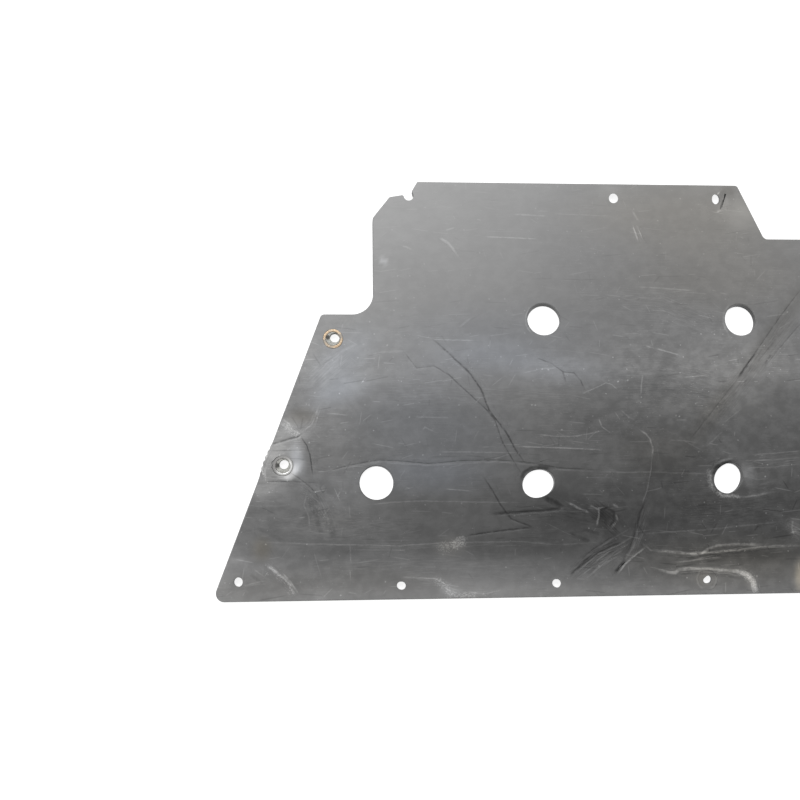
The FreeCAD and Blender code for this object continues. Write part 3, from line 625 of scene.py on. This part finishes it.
# Back: the flat back is filled again between its edges, now that the holes lean
BACK_SKIN = 0.000001
lowest = places[:, 2] < BACK_SKIN
at_back = np.array([all(lowest[corner] for corner in face.vertices) for face in panel.data.polygons])
choose_faces(panel, at_back)
bpy.ops.mesh.delete(type="FACE")
bpy.ops.mesh.select_mode(type="EDGE")
bpy.ops.mesh.select_non_manifold(extend=False, use_wire=False, use_boundary=True, use_multi_face=False,
                                 use_non_contiguous=False, use_verts=False)
bpy.ops.mesh.fill(use_beauty=True)
bpy.ops.mesh.select_all(action="SELECT")
bpy.ops.mesh.normals_make_consistent(inside=False)
bpy.ops.object.mode_set(mode="OBJECT")

# Marks: each point keeps the tone, with its painted sheen and shade, its warmth and scuffing, and its place
# beside each crease and scratch
MARK_REACH = 4.0
MARK_FADE = 6.0
MARK_LIMIT = 12.0
MARK_END = 8.0
MARK_LEAST = 0.25
WIDE_STEADY = -0.6
COMB_EDGE = 1.3
COMB_CORE = 0.3
COMB_END = 4.0
SCUFF_CORE = 0.2
GREY_STEPS = 255.0
# Painted shade: the grey level of upright walls, lighter at the bushes' seats, within reach of them
WALL_SHADE = 0.20
SEAT_WALL_SHADE = 0.52
SEAT_REACH = 0.013
SEATED_BUSHES = ("shoulder_bush_left", "flank_bush_left", "shoulder_bush_right", "flank_bush_right")


def keep(name, kind, values):
    """Stores a value at each point of the panel."""
    stored = panel.data.attributes.new(name, kind, "POINT")
    stored.data.foreach_set("value" if kind == "FLOAT" else "vector", np.ascontiguousarray(values).ravel())


tone = np.interp(points[:, 1], *zip(*TONE_DOWN)) + np.interp(points[:, 0], *zip(*TONE_ACROSS))
warmth = np.zeros(len(points))
for middle, half_length, half_width, turn, change, warm in PATCHES.values():
    share = in_patch(points, middle, half_length, half_width, turn)
    tone += change * share
    warmth += warm * share
scuff = np.zeros(len(points))
for half_width, strength, path in SCUFFS.values():
    signed, along = side_of(points, path)
    scuff = np.maximum(scuff, strength * (1.0 - ease(SCUFF_CORE * half_width, half_width, np.abs(signed))))
keep("tone", "FLOAT", np.where(on_top, tone, BACK_TONE) / GREY_STEPS)
keep("warmth", "FLOAT", np.where(on_top, warmth, 0.0) / GREY_STEPS)
keep("scuff", "FLOAT", np.where(on_top, scuff, 0.0))
wear = np.interp(points[:, 1], *zip(*WEAR_DOWN)) * np.interp(points[:, 0], *zip(*WEAR_ACROSS))
for middle, half_length, half_width, turn, more in WORN_SPOTS.values():
    wear += more * in_patch(points, middle, half_length, half_width, turn)
keep("wear", "FLOAT", np.where(on_top, wear, BACK_WEAR))
# Walls keep a painted shade level, lighter round the bushes' seats
seat_middles = np.array([((low + high) / 2)[:2] for low, high in (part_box(name) for name in SEATED_BUSHES)])
to_seats = np.linalg.norm(places[:, None, :2] - seat_middles[None], axis=2).min(axis=1)
keep("wall", "FLOAT", np.where(to_seats < SEAT_REACH, SEAT_WALL_SHADE, WALL_SHADE))


def free_layer(layers, around, far):
    """The first layer with nothing drawn at these points yet, or a new one."""
    for layer in layers:
        if not layer["taken"][around].any():
            break
    else:
        layer = {"taken": np.zeros(len(points), bool), "drawn": np.zeros((len(points), 3))}
        layer["drawn"][:, 0] = far
        layers.append(layer)
    layer["taken"][around] = True
    return layer["drawn"]


line_layers = []
for half_width, change, height, path in LINES:
    around, signed, along = beside(points, path, MARK_FADE)
    fade = np.where(on_top[around], 1.0 - ease(MARK_REACH, MARK_FADE, np.abs(signed)), 0.0)
    taper = np.minimum(1.0, MARK_END * np.minimum(along, 1.0 - along) + MARK_LEAST)
    drawn = free_layer(line_layers, around, MARK_LIMIT)
    drawn[around, 0] = signed / half_width
    drawn[around, 1] = change / GREY_STEPS * fade * taper
    drawn[around, 2] = max(1.0, half_width) ** WIDE_STEADY
comb_layers = []
for half_width, change, path in COMBS.values():
    around, signed, along = beside(points, path, COMB_EDGE * half_width)
    fade = np.where(on_top[around], 1.0 - ease(COMB_CORE * half_width, half_width, np.abs(signed)), 0.0)
    taper = np.minimum(1.0, COMB_END * np.minimum(along, 1.0 - along))
    length = np.linalg.norm(np.diff(path, axis=0), axis=1).sum()
    drawn = free_layer(comb_layers, around, 0.0)
    drawn[around, 0] = signed
    drawn[around, 1] = along * length
    drawn[around, 2] = change / GREY_STEPS * fade * taper
for number, layer in enumerate(line_layers):
    keep(f"lines_{number}", "FLOAT_VECTOR", layer["drawn"])
for number, layer in enumerate(comb_layers):
    keep(f"combs_{number}", "FLOAT_VECTOR", layer["drawn"])


def place_node(tree, kind, inputs=(), **settings):
    """A shader node, with each input a plain value or another node's output."""
    node = tree.nodes.new(kind)
    for name, setting in settings.items():
        setattr(node, name, setting)
    for socket, given in dict(inputs).items():
        if isinstance(given, bpy.types.NodeSocket):
            tree.links.new(given, node.inputs[socket])
        else:
            node.inputs[socket].default_value = given
    return node


def calc(tree, operation, *terms):
    """The result of one Math node."""
    return place_node(tree, "ShaderNodeMath", dict(enumerate(terms)), operation=operation).outputs[0]


def graded(tree, amount, low, high, to_low=0.0, to_high=1.0):
    """A smooth change from one value to another while the amount goes from low to high."""
    inputs = {"Value": amount, "From Min": low, "From Max": high, "To Min": to_low, "To Max": to_high}
    return place_node(tree, "ShaderNodeMapRange", inputs, interpolation_type="SMOOTHSTEP").outputs["Result"]


# Drawn-out grain: the noise that the finishes of sheet, bushes and grit share, stretched and turned for each
GRAIN_INPUTS = {
    "Stretch": "NodeSocketVector",
    "Turn": "NodeSocketVector",
    "Scale": "NodeSocketFloat",
    "Detail": "NodeSocketFloat",
    "Roughness": "NodeSocketFloat",
}
drawn_out = bpy.data.node_groups.new("drawn_out_grain", "ShaderNodeTree")
for name, kind in GRAIN_INPUTS.items():
    drawn_out.interface.new_socket(name, in_out="INPUT", socket_type=kind)
drawn_out.interface.new_socket("Grain", in_out="OUTPUT", socket_type="NodeSocketFloat")
given = place_node(drawn_out, "NodeGroupInput").outputs
where = place_node(drawn_out, "ShaderNodeTexCoord").outputs["Object"]
laid_out = {"Vector": where, "Rotation": given["Turn"], "Scale": given["Stretch"]}
noise = {"Vector": place_node(drawn_out, "ShaderNodeMapping", laid_out).outputs["Vector"]}
for name in ("Scale", "Detail", "Roughness"):
    noise[name] = given[name]
noise = place_node(drawn_out, "ShaderNodeTexNoise", noise).outputs["Fac"]
place_node(drawn_out, "NodeGroupOutput", {"Grain": noise})


def streaks(tree, stretch, turn, scale, detail=2.0, roughness=0.55):
    """The drawn-out grain with its own stretch, turn in degrees and fineness."""
    inputs = {"Stretch": stretch, "Turn": (0.0, 0.0, math.radians(turn)), "Scale": scale, "Detail": detail,
              "Roughness": roughness}
    return place_node(tree, "ShaderNodeGroup", inputs, node_tree=drawn_out).outputs["Grain"]


STROKE_CORE = 0.3
STROKE_LEAST = 0.3
STROKE_FADE = 0.5
STROKE_RARE = 0.2


def strokes(tree, cells, turn, spread, half_length, half_width, share):
    """Short scratches in a share of a scattered pattern's cells, each turned and shortened its own way."""
    flat = place_node(tree, "ShaderNodeTexCoord").outputs["Object"]
    cell = place_node(tree, "ShaderNodeTexVoronoi", {"Vector": flat, "Scale": cells}, voronoi_dimensions="2D")
    chance = place_node(tree, "ShaderNodeSeparateColor", {0: cell.outputs["Color"]}).outputs
    ends = {0: flat, 1: cell.outputs["Position"]}
    apart = place_node(tree, "ShaderNodeVectorMath", ends, operation="SUBTRACT")
    angle = graded(tree, chance[0], 0.0, 1.0, math.radians(turn - spread), math.radians(turn + spread))
    turned = {"Vector": apart.outputs[0], "Angle": angle}
    laid = place_node(tree, "ShaderNodeVectorRotate", turned, rotation_type="Z_AXIS").outputs[0]
    laid = place_node(tree, "ShaderNodeSeparateXYZ", {0: laid}).outputs
    line = graded(tree, calc(tree, "ABSOLUTE", laid["Y"]), STROKE_CORE * half_width, half_width, 1.0, 0.0)
    length = calc(tree, "MULTIPLY_ADD", chance[2], half_length, STROKE_LEAST * half_length)
    reached = calc(tree, "DIVIDE", calc(tree, "ABSOLUTE", laid["X"]), length)
    faded = graded(tree, reached, STROKE_FADE, 1.0, 1.0, 0.0)
    kept = graded(tree, chance[1], STROKE_RARE * share, share, 1.0, 0.0)
    return calc(tree, "MULTIPLY", calc(tree, "MULTIPLY", line, faded), kept)


def stored_value(tree, name, output="Fac"):
    """What a piece keeps at its points under this name."""
    return place_node(tree, "ShaderNodeAttribute", attribute_name=name).outputs[output]


# Worn plastic: a satin dark surface whose grey level sums up its tone, grain, scratches, specks and marks,
# with painted sheen and shade in the tone and marks and painted shade on its walls
SHEET_GAIN = 0.77
DARKEST = 0.10
DISPLAY_POWER = 2.2
WARM_GAIN = 4.0
WARM_RED = 0.7
WARM_BLUE = -1.3
# Grains of the worn plastic, as stretch, turn, scale, detail and roughness
GRAINS = {
    "patches": ((1.0, 1.5, 1.0), 0.0, 16.0, 2.0, 0.55),
    "cloud": ((1.0, 1.7, 1.0), -8.0, 7.0, 3.0, 0.5),
    "blotch": ((1.0, 1.6, 1.0), 4.0, 22.0, 4.0, 0.6),
    "smear": ((1.0, 3.4, 1.0), -5.0, 42.0, 4.0, 0.62),
    "mottle": ((1.0, 1.25, 1.0), -30.0, 90.0, 4.0, 0.62),
    "brushing": ((6.0, 230.0, 1.0), 0.6, 4.0, 3.0, 0.6),
    "dashes": ((26.0, 330.0, 1.0), 1.2, 3.6, 1.0, 0.4),
    "long dashes": ((5.0, 330.0, 1.0), -1.5, 3.4, 1.0, 0.4),
    "slant": ((30.0, 300.0, 1.0), 38.0, 3.0, 1.0, 0.4),
    "counter slant": ((24.0, 300.0, 1.0), -52.0, 3.0, 1.0, 0.4),
    "specks": ((1.0, 1.3, 1.0), 20.0, 420.0, 2.0, 0.6),
    "rubbing": ((1.0, 1.2, 1.0), 35.0, 520.0, 5.0, 0.75),
    "wander": ((1.0, 1.0, 1.0), 0.0, 190.0, 2.0, 0.55),
    "breaks": ((1.0, 1.0, 1.0), 0.0, 150.0, 4.0, 0.7),
}
# Soft grains lighten and darken the sheet evenly, by this much
SOFT_GRAINS = {"cloud": 0.040, "blotch": 0.060, "smear": 0.030}
# Cut grains lighten it only where they rise from a low to a high level, by this much, in the patches
CUT_GRAINS = {
    "dashes": (0.66, 0.76, 0.050),
    "long dashes": (0.69, 0.77, 0.040),
    "slant": (0.68, 0.77, 0.030),
    "specks": (0.67, 0.75, 0.110),
}
PATCHES_SHOWN = (0.42, 0.62)
MOTTLE_SHOWN = (0.36, 0.66)
MOTTLE_CHANGE = 0.028
BRUSHING_CHANGE = 0.060
COUNTER_SLANT_SHOWN = (0.70, 0.78)
COUNTER_SLANT_CHANGE = 0.018
# Strokes: cells to a metre, turn, spread of turns, half length, half width, share of the cells and change
STROKES = (
    (44.0, 0.0, 12.0, 0.013, 0.0007, 0.55, 0.056),
    (37.0, -3.0, 9.0, 0.015, 0.0009, 0.45, -0.038),
    (52.0, 20.0, 80.0, 0.007, 0.0007, 0.32, 0.050),
    (46.0, -20.0, 80.0, 0.007, 0.0010, 0.28, -0.032),
    (80.0, 40.0, 90.0, 0.0010, 0.0010, 0.24, 0.110),
)
RUB_BARE = 0.76
RUB_TAKEN = -0.30
RUB_SOFT = 0.16
RUB_CHANGE = 0.16
COMB_STRETCH = 0.07
COMB_APART = 7.0
COMB_FINENESS = {"Scale": 0.9, "Detail": 3.0, "Roughness": 0.6}
TEETH_SHOWN = (0.44, 0.66)
WANDER_REACH = 1.6
BREAKS_SHOWN = (0.34, 0.56)
BROKEN_LEAST = 0.25
LINE_SHOWN = (0.25, 1.45)
UPRIGHT = (0.15, 0.5)
SATIN = 0.46
SATIN_SPREAD = 0.35
RUBBED_DULL = 0.18
CHANGE_RELIEF = 0.6
RUB_RELIEF = 0.15
RELIEF_STRENGTH = 0.4
RELIEF_DEPTH = 0.001
worn = bpy.data.materials.new("worn_plastic")
worn.use_nodes = True
tree = worn.node_tree
skin = tree.nodes["Principled BSDF"]
grains = {name: streaks(tree, *recipe) for name, recipe in GRAINS.items()}
patchy = graded(tree, grains["patches"], *PATCHES_SHOWN)
mottle = graded(tree, grains["mottle"], *MOTTLE_SHOWN)
brushing = calc(tree, "MULTIPLY", calc(tree, "SUBTRACT", grains["brushing"], 0.5), patchy)
counter_slant = graded(tree, grains["counter slant"], *COUNTER_SLANT_SHOWN)
change = calc(tree, "MULTIPLY", calc(tree, "SUBTRACT", mottle, 0.5), MOTTLE_CHANGE)
change = calc(tree, "MULTIPLY_ADD", brushing, BRUSHING_CHANGE, change)
change = calc(tree, "MULTIPLY_ADD", counter_slant, COUNTER_SLANT_CHANGE, change)
for name, strength in SOFT_GRAINS.items():
    change = calc(tree, "MULTIPLY_ADD", calc(tree, "SUBTRACT", grains[name], 0.5), strength, change)
for name, (low_level, high_level, strength) in CUT_GRAINS.items():
    cut = calc(tree, "MULTIPLY", graded(tree, grains[name], low_level, high_level), patchy)
    change = calc(tree, "MULTIPLY_ADD", cut, strength, change)
for *pattern, strength in STROKES:
    change = calc(tree, "MULTIPLY_ADD", strokes(tree, *pattern), strength, change)
level = calc(tree, "MULTIPLY_ADD", change, stored_value(tree, "wear"), stored_value(tree, "tone"))
rub_edge = calc(tree, "MULTIPLY_ADD", stored_value(tree, "scuff"), RUB_TAKEN, RUB_BARE)
rub = graded(tree, calc(tree, "SUBTRACT", grains["rubbing"], rub_edge), 0.0, RUB_SOFT)
level = calc(tree, "MULTIPLY_ADD", rub, RUB_CHANGE, level)
relief = calc(tree, "MULTIPLY", change, CHANGE_RELIEF)
for number in range(len(comb_layers)):
    mark = stored_value(tree, f"combs_{number}", "Vector")
    mark = place_node(tree, "ShaderNodeSeparateXYZ", {0: mark}).outputs
    along = calc(tree, "MULTIPLY", mark["Y"], COMB_STRETCH)
    drawn = place_node(tree, "ShaderNodeCombineXYZ", {0: mark["X"], 1: along, 2: COMB_APART * number})
    noise = place_node(tree, "ShaderNodeTexNoise", {"Vector": drawn.outputs[0], **COMB_FINENESS})
    cover = calc(tree, "MULTIPLY", graded(tree, noise.outputs["Fac"], *TEETH_SHOWN), mark["Z"])
    level = calc(tree, "ADD", level, cover)
    relief = calc(tree, "ADD", relief, cover)
wander = calc(tree, "SUBTRACT", grains["wander"], 0.5)
gaps = graded(tree, grains["breaks"], *BREAKS_SHOWN, BROKEN_LEAST - 1.0, 0.0)
for number in range(len(line_layers)):
    mark = stored_value(tree, f"lines_{number}", "Vector")
    mark = place_node(tree, "ShaderNodeSeparateXYZ", {0: mark}).outputs
    astray = calc(tree, "MULTIPLY", wander, mark["Z"])
    off_line = calc(tree, "ABSOLUTE", calc(tree, "MULTIPLY_ADD", astray, WANDER_REACH, mark["X"]))
    cover = calc(tree, "MULTIPLY", graded(tree, off_line, *LINE_SHOWN, 1.0, 0.0), mark["Y"])
    unbroken = calc(tree, "MULTIPLY_ADD", gaps, mark["Z"], 1.0)
    level = calc(tree, "MULTIPLY_ADD", cover, unbroken, level)
    relief = calc(tree, "ADD", relief, cover)
# Painted shade: upright faces, the walls of holes and edges, take the dark wall level
facing = place_node(tree, "ShaderNodeTexCoord").outputs["Normal"]
facing = place_node(tree, "ShaderNodeSeparateXYZ", {0: facing}).outputs["Z"]
upright = graded(tree, calc(tree, "ABSOLUTE", facing), *UPRIGHT, 1.0, 0.0)
to_wall = calc(tree, "SUBTRACT", stored_value(tree, "wall"), level)
level = calc(tree, "MULTIPLY_ADD", to_wall, upright, level)
shown = calc(tree, "POWER", calc(tree, "MAXIMUM", level, DARKEST), DISPLAY_POWER)
shown = calc(tree, "MULTIPLY", shown, SHEET_GAIN)
warm = calc(tree, "MULTIPLY", stored_value(tree, "warmth"), WARM_GAIN)
red = calc(tree, "MULTIPLY", shown, calc(tree, "MULTIPLY_ADD", warm, WARM_RED, 1.0))
blue = calc(tree, "MULTIPLY", shown, calc(tree, "MULTIPLY_ADD", warm, WARM_BLUE, 1.0))
mixed = place_node(tree, "ShaderNodeCombineColor", {0: red, 1: shown, 2: blue})
tree.links.new(mixed.outputs["Color"], skin.inputs["Base Color"])
dull = calc(tree, "MULTIPLY_ADD", calc(tree, "SUBTRACT", grains["blotch"], 0.5), SATIN_SPREAD, SATIN)
dull = calc(tree, "MULTIPLY_ADD", rub, RUBBED_DULL, dull)
tree.links.new(dull, skin.inputs["Roughness"])
height = calc(tree, "MULTIPLY_ADD", rub, RUB_RELIEF, relief)
bump = {"Height": height, "Strength": RELIEF_STRENGTH, "Distance": RELIEF_DEPTH}
bump = place_node(tree, "ShaderNodeBump", bump)
tree.links.new(bump.outputs["Normal"], skin.inputs["Normal"])
panel.data.materials.clear()
panel.data.materials.append(worn)
take_up(panel)
SOFT_ANGLE = math.radians(32.0)
bpy.ops.object.shade_smooth_by_angle(angle=SOFT_ANGLE)
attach(panel, "root")
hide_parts("skid_plate")

# Bushes: turned steel sleeves with a thin flange, plated yellow, pressed into the sheet from the road side.
# Road grit has dulled the plating, and the lower left one is scraped down to bright steel, with a painted
# highlight on its lower right side.
PLATING = (0.42, 0.32, 0.22, 1.0)
PLATING_DULL = (0.30, 0.275, 0.24, 1.0)
BARE_STEEL = (0.92, 0.92, 0.91, 1.0)
BARE_DULL = (0.27, 0.265, 0.26, 1.0)
SCRAPED_AND_HIGHLIT_SIDE = (30.0, -30.0, 0.0)
SMEARED_SHEET = (0.24, 0.238, 0.232, 1.0)
SMEAR_FROM = 0.0083
SMEAR_FULL = 0.0098
SMEARED_METAL = 0.1
LEVEL_ONLY = (1.0, 1.0, 0.0)
DULL_ROUGH = 0.55
CLEAN_ROUGH = 0.30
PIT_SCALE = 900.0


def bush_metal(name, clean, dull, patch_scale, low_patch, high_patch, middle=None):
    """Plated or bared metal with dull patches and fine pits.

    A bush whose middle is given is scraped bright, lightest on its lower right side as painted highlight, and
    smeared with plastic round its rim.
    """
    metal = bpy.data.materials.new(name)
    metal.use_nodes = True
    tree = metal.node_tree
    shine = tree.nodes["Principled BSDF"]
    shine.inputs["Metallic"].default_value = 1.0
    patches = streaks(tree, (1.0, 1.0, 1.0), 0.0, patch_scale, 2.0, 0.5)
    if middle is not None:
        spot = place_node(tree, "ShaderNodeTexCoord").outputs["Object"]
        apart = {0: spot, 1: middle}
        apart = place_node(tree, "ShaderNodeVectorMath", apart, operation="SUBTRACT").outputs[0]
        sides = {0: apart, 1: SCRAPED_AND_HIGHLIT_SIDE}
        side = place_node(tree, "ShaderNodeVectorMath", sides, operation="DOT_PRODUCT")
        patches = calc(tree, "ADD", patches, side.outputs["Value"])
    patches = graded(tree, patches, low_patch, high_patch)
    colour = place_node(tree, "ShaderNodeMix", {"Factor": patches, 6: dull, 7: clean}, data_type="RGBA")
    if middle is not None:
        level_way = {0: apart, 1: LEVEL_ONLY}
        level_way = place_node(tree, "ShaderNodeVectorMath", level_way, operation="MULTIPLY").outputs[0]
        outward = place_node(tree, "ShaderNodeVectorMath", {0: level_way}, operation="LENGTH")
        smeared = graded(tree, outward.outputs["Value"], SMEAR_FROM, SMEAR_FULL)
        tree.links.new(graded(tree, smeared, 0.0, 1.0, 1.0, SMEARED_METAL), shine.inputs["Metallic"])
        smear = {"Factor": smeared, 6: colour.outputs[2], 7: SMEARED_SHEET}
        colour = place_node(tree, "ShaderNodeMix", smear, data_type="RGBA")
    tree.links.new(colour.outputs[2], shine.inputs["Base Color"])
    tree.links.new(graded(tree, patches, 0.0, 1.0, DULL_ROUGH, CLEAN_ROUGH), shine.inputs["Roughness"])
    pits = streaks(tree, (1.0, 1.0, 1.0), 0.0, PIT_SCALE, 3.0)
    bump = place_node(tree, "ShaderNodeBump", {"Height": pits, "Strength": 0.2, "Distance": 0.0003})
    tree.links.new(bump.outputs["Normal"], shine.inputs["Normal"])
    return metal


plated = bush_metal("yellow_plating", PLATING, PLATING_DULL, 120.0, 0.38, 0.62)
scraped = bush_metal("scraped_steel", BARE_STEEL, BARE_DULL, 90.0, 0.20, 0.80, (bush_low + bush_high) / 2)
BUSH_FINISH = {
    "shoulder_bush_left": plated,
    "shoulder_bush_right": plated,
    "flank_bush_left": scraped,
    "flank_bush_right": plated,
}
for name, finish in BUSH_FINISH.items():
    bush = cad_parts[name]
    bush.data.materials.clear()
    bush.data.materials.append(finish)

# Caked grit: a rough plug in one side of each left bush's bore, partly road dirt left there when the bolt
# came out and partly painted shade inside the bore. A round way goes through it, as wide as each bore still
# shows.
GRIT_OUTER = 0.00715
GRIT_SINK = -0.0002
GRIT_DEPTH = 0.0060
GRIT_SIDES = 40
GRIT_RINGS = 5
GRIT_ROUGH = 0.00022
GRIT_PALE = 0.50
GRIT_DARK = 0.35
GRIT_TAN = 0.94
GRIT_DULL = 0.9
GRIT_SCALE = 500.0
CRUMBS_SHOWN = (0.35, 0.7)
# How much the painted shade darkens the grit
GRIT_SHADE = 0.80
BORE_SHADE_CORE = 0.4
# Ways through: radius, and place to the right of and above the bore's middle
WAYS_THROUGH = {
    "shoulder_bush_left": (0.00505, 0.00190, 0.0013),
    "flank_bush_left": (0.00475, 0.00090, 0.0016),
}
# Bore shade spots: painted shade that darkens the grit on the bore's left side, as place to the right of and
# above the bore's middle, and reach
BORE_SHADE_SPOTS = {
    "shoulder_bush_left": (-0.0052, 0.0016, 0.0034),
    "flank_bush_left": (-0.0058, 0.0004, 0.0036),
}
grit_and_shade_skin = bpy.data.materials.new("grit_with_painted_shade")
grit_and_shade_skin.use_nodes = True
tree = grit_and_shade_skin.node_tree
crust = tree.nodes["Principled BSDF"]
crumbs = streaks(tree, (1.0, 1.0, 1.0), 0.0, GRIT_SCALE, 3.0)
crumbs = graded(tree, crumbs, *CRUMBS_SHOWN, GRIT_DARK, GRIT_PALE)
# Painted shade: the grit is darker on the bore's left side
unshaded = calc(tree, "MULTIPLY_ADD", stored_value(tree, "bore_shade"), -GRIT_SHADE, 1.0)
crumbs = calc(tree, "MULTIPLY", crumbs, unshaded)
tan = calc(tree, "MULTIPLY", crumbs, GRIT_TAN)
crust_colour = place_node(tree, "ShaderNodeCombineColor", {0: crumbs, 1: crumbs, 2: tan})
tree.links.new(crust_colour.outputs["Color"], crust.inputs["Base Color"])
crust.inputs["Roughness"].default_value = GRIT_DULL
for name, (way_radius, way_right, way_up) in WAYS_THROUGH.items():
    low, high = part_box(name)
    middle = (low + high) / 2
    grit_middle = SHEET_TOP - GRIT_SINK - GRIT_DEPTH / 2
    bpy.ops.object.select_all(action="DESELECT")
    bpy.ops.mesh.primitive_cylinder_add(vertices=GRIT_SIDES, radius=way_radius, depth=4 * GRIT_DEPTH,
                                        location=(middle.x + way_right, middle.y + way_up, grit_middle))
    way = bpy.context.object
    bpy.ops.mesh.primitive_cylinder_add(vertices=GRIT_SIDES, radius=GRIT_OUTER, depth=GRIT_DEPTH,
                                        location=(middle.x, middle.y, grit_middle))
    grit = bpy.context.object
    grit.name = f"grit_and_shade_in_{name}"
    take_up(grit)
    bpy.ops.object.transform_apply(location=True, rotation=False, scale=False)
    clearing = grit.modifiers.new("way through", "BOOLEAN")
    clearing.operation = "DIFFERENCE"
    clearing.solver = "EXACT"
    clearing.object = way
    bpy.ops.object.modifier_apply(modifier=clearing.name)
    bpy.data.objects.remove(way)
    bpy.ops.object.mode_set(mode="EDIT")
    bpy.ops.mesh.select_all(action="SELECT")
    bpy.ops.mesh.quads_convert_to_tris()
    bpy.ops.mesh.subdivide(number_cuts=GRIT_RINGS)
    bpy.ops.mesh.select_all(action="SELECT")
    bpy.ops.transform.vertex_random(offset=GRIT_ROUGH, uniform=0.0, normal=0.0, seed=3)
    bpy.ops.object.mode_set(mode="OBJECT")
    # The painted shade on the grit's left side, kept at its points
    spot_right, spot_up, spot_reach = BORE_SHADE_SPOTS[name]
    corners = np.zeros(3 * len(grit.data.vertices))
    grit.data.vertices.foreach_get("co", corners)
    corners = corners.reshape(-1, 3)
    off_spot = np.hypot(corners[:, 0] - middle.x - spot_right, corners[:, 1] - middle.y - spot_up)
    bore_shade = grit.data.attributes.new("bore_shade", "FLOAT", "POINT")
    bore_shade.data.foreach_set("value", 1.0 - ease(BORE_SHADE_CORE * spot_reach, spot_reach, off_spot))
    grit.data.materials.append(grit_and_shade_skin)
    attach(grit, "root")

# Studio: a plain pale floor, even light all round, and one large soft lamp beyond the notched edge.
# That lamp's reflection is the sheen on the panel's upper half.
FLOOR_SIDE = 12.0
FLOOR_GREY = 0.45
FLOOR_GLOW = 0.84
WORLD_LIGHT = 0.50
bpy.ops.object.select_all(action="DESELECT")
bpy.ops.mesh.primitive_plane_add(size=FLOOR_SIDE)
floor = bpy.context.object
floor.name = "studio_floor"
pale = bpy.data.materials.new("pale_floor")
pale.use_nodes = True
tree = pale.node_tree
ground = tree.nodes["Principled BSDF"]
ground.inputs["Base Color"].default_value = (FLOOR_GREY, FLOOR_GREY, FLOOR_GREY, 1.0)
ground.inputs["Roughness"].default_value = 1.0
ground.inputs["Specular IOR Level"].default_value = 0.0
ground.inputs["Emission Color"].default_value = (1.0, 1.0, 1.0, 1.0)
ray = place_node(tree, "ShaderNodeLightPath")
straight = calc(tree, "MAXIMUM", ray.outputs["Is Camera Ray"], ray.outputs["Is Glossy Ray"])
tree.links.new(calc(tree, "MULTIPLY", straight, FLOOR_GLOW), ground.inputs["Emission Strength"])
floor.data.materials.append(pale)
floor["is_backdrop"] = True
world = bpy.data.worlds.new("even_light")
world.use_nodes = True
sky = world.node_tree.nodes["Background"]
sky.inputs["Color"].default_value = (1.0, 1.0, 1.0, 1.0)
seen = place_node(world.node_tree, "ShaderNodeLightPath").outputs["Is Camera Ray"]
world.node_tree.links.new(calc(world.node_tree, "MULTIPLY_ADD", seen, 1.0 - WORLD_LIGHT, WORLD_LIGHT),
                          sky.inputs["Strength"])
bpy.context.scene.world = world
# Lamps: place, what they point at, width, depth and power
LAMPS = {
    "sheen_lamp": ((-0.55, 1.15, 1.75), (-0.35, 0.1, 0.0), 1.7, 1.0, 26.0),
    "side_lamp": ((-2.1, -0.6, 1.5), (-0.3, 0.0, 0.0), 1.2, 1.2, 14.0),
}
for name, (place, target, width, depth, power) in LAMPS.items():
    lamp = bpy.data.lights.new(name, "AREA")
    lamp.shape = "RECTANGLE"
    lamp.size = width
    lamp.size_y = depth
    lamp.energy = power
    holder = bpy.data.objects.new(name, lamp)
    holder.location = place
    aim = np.array(target) - np.array(place)
    sideways_turn = math.atan2(aim[1], aim[0]) - math.pi / 2
    holder.rotation_euler = (math.atan2(np.hypot(aim[0], aim[1]), -aim[2]), 0.0, sideways_turn)
    bpy.context.scene.collection.objects.link(holder)

# Sizes: the box of what is shown
low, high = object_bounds()
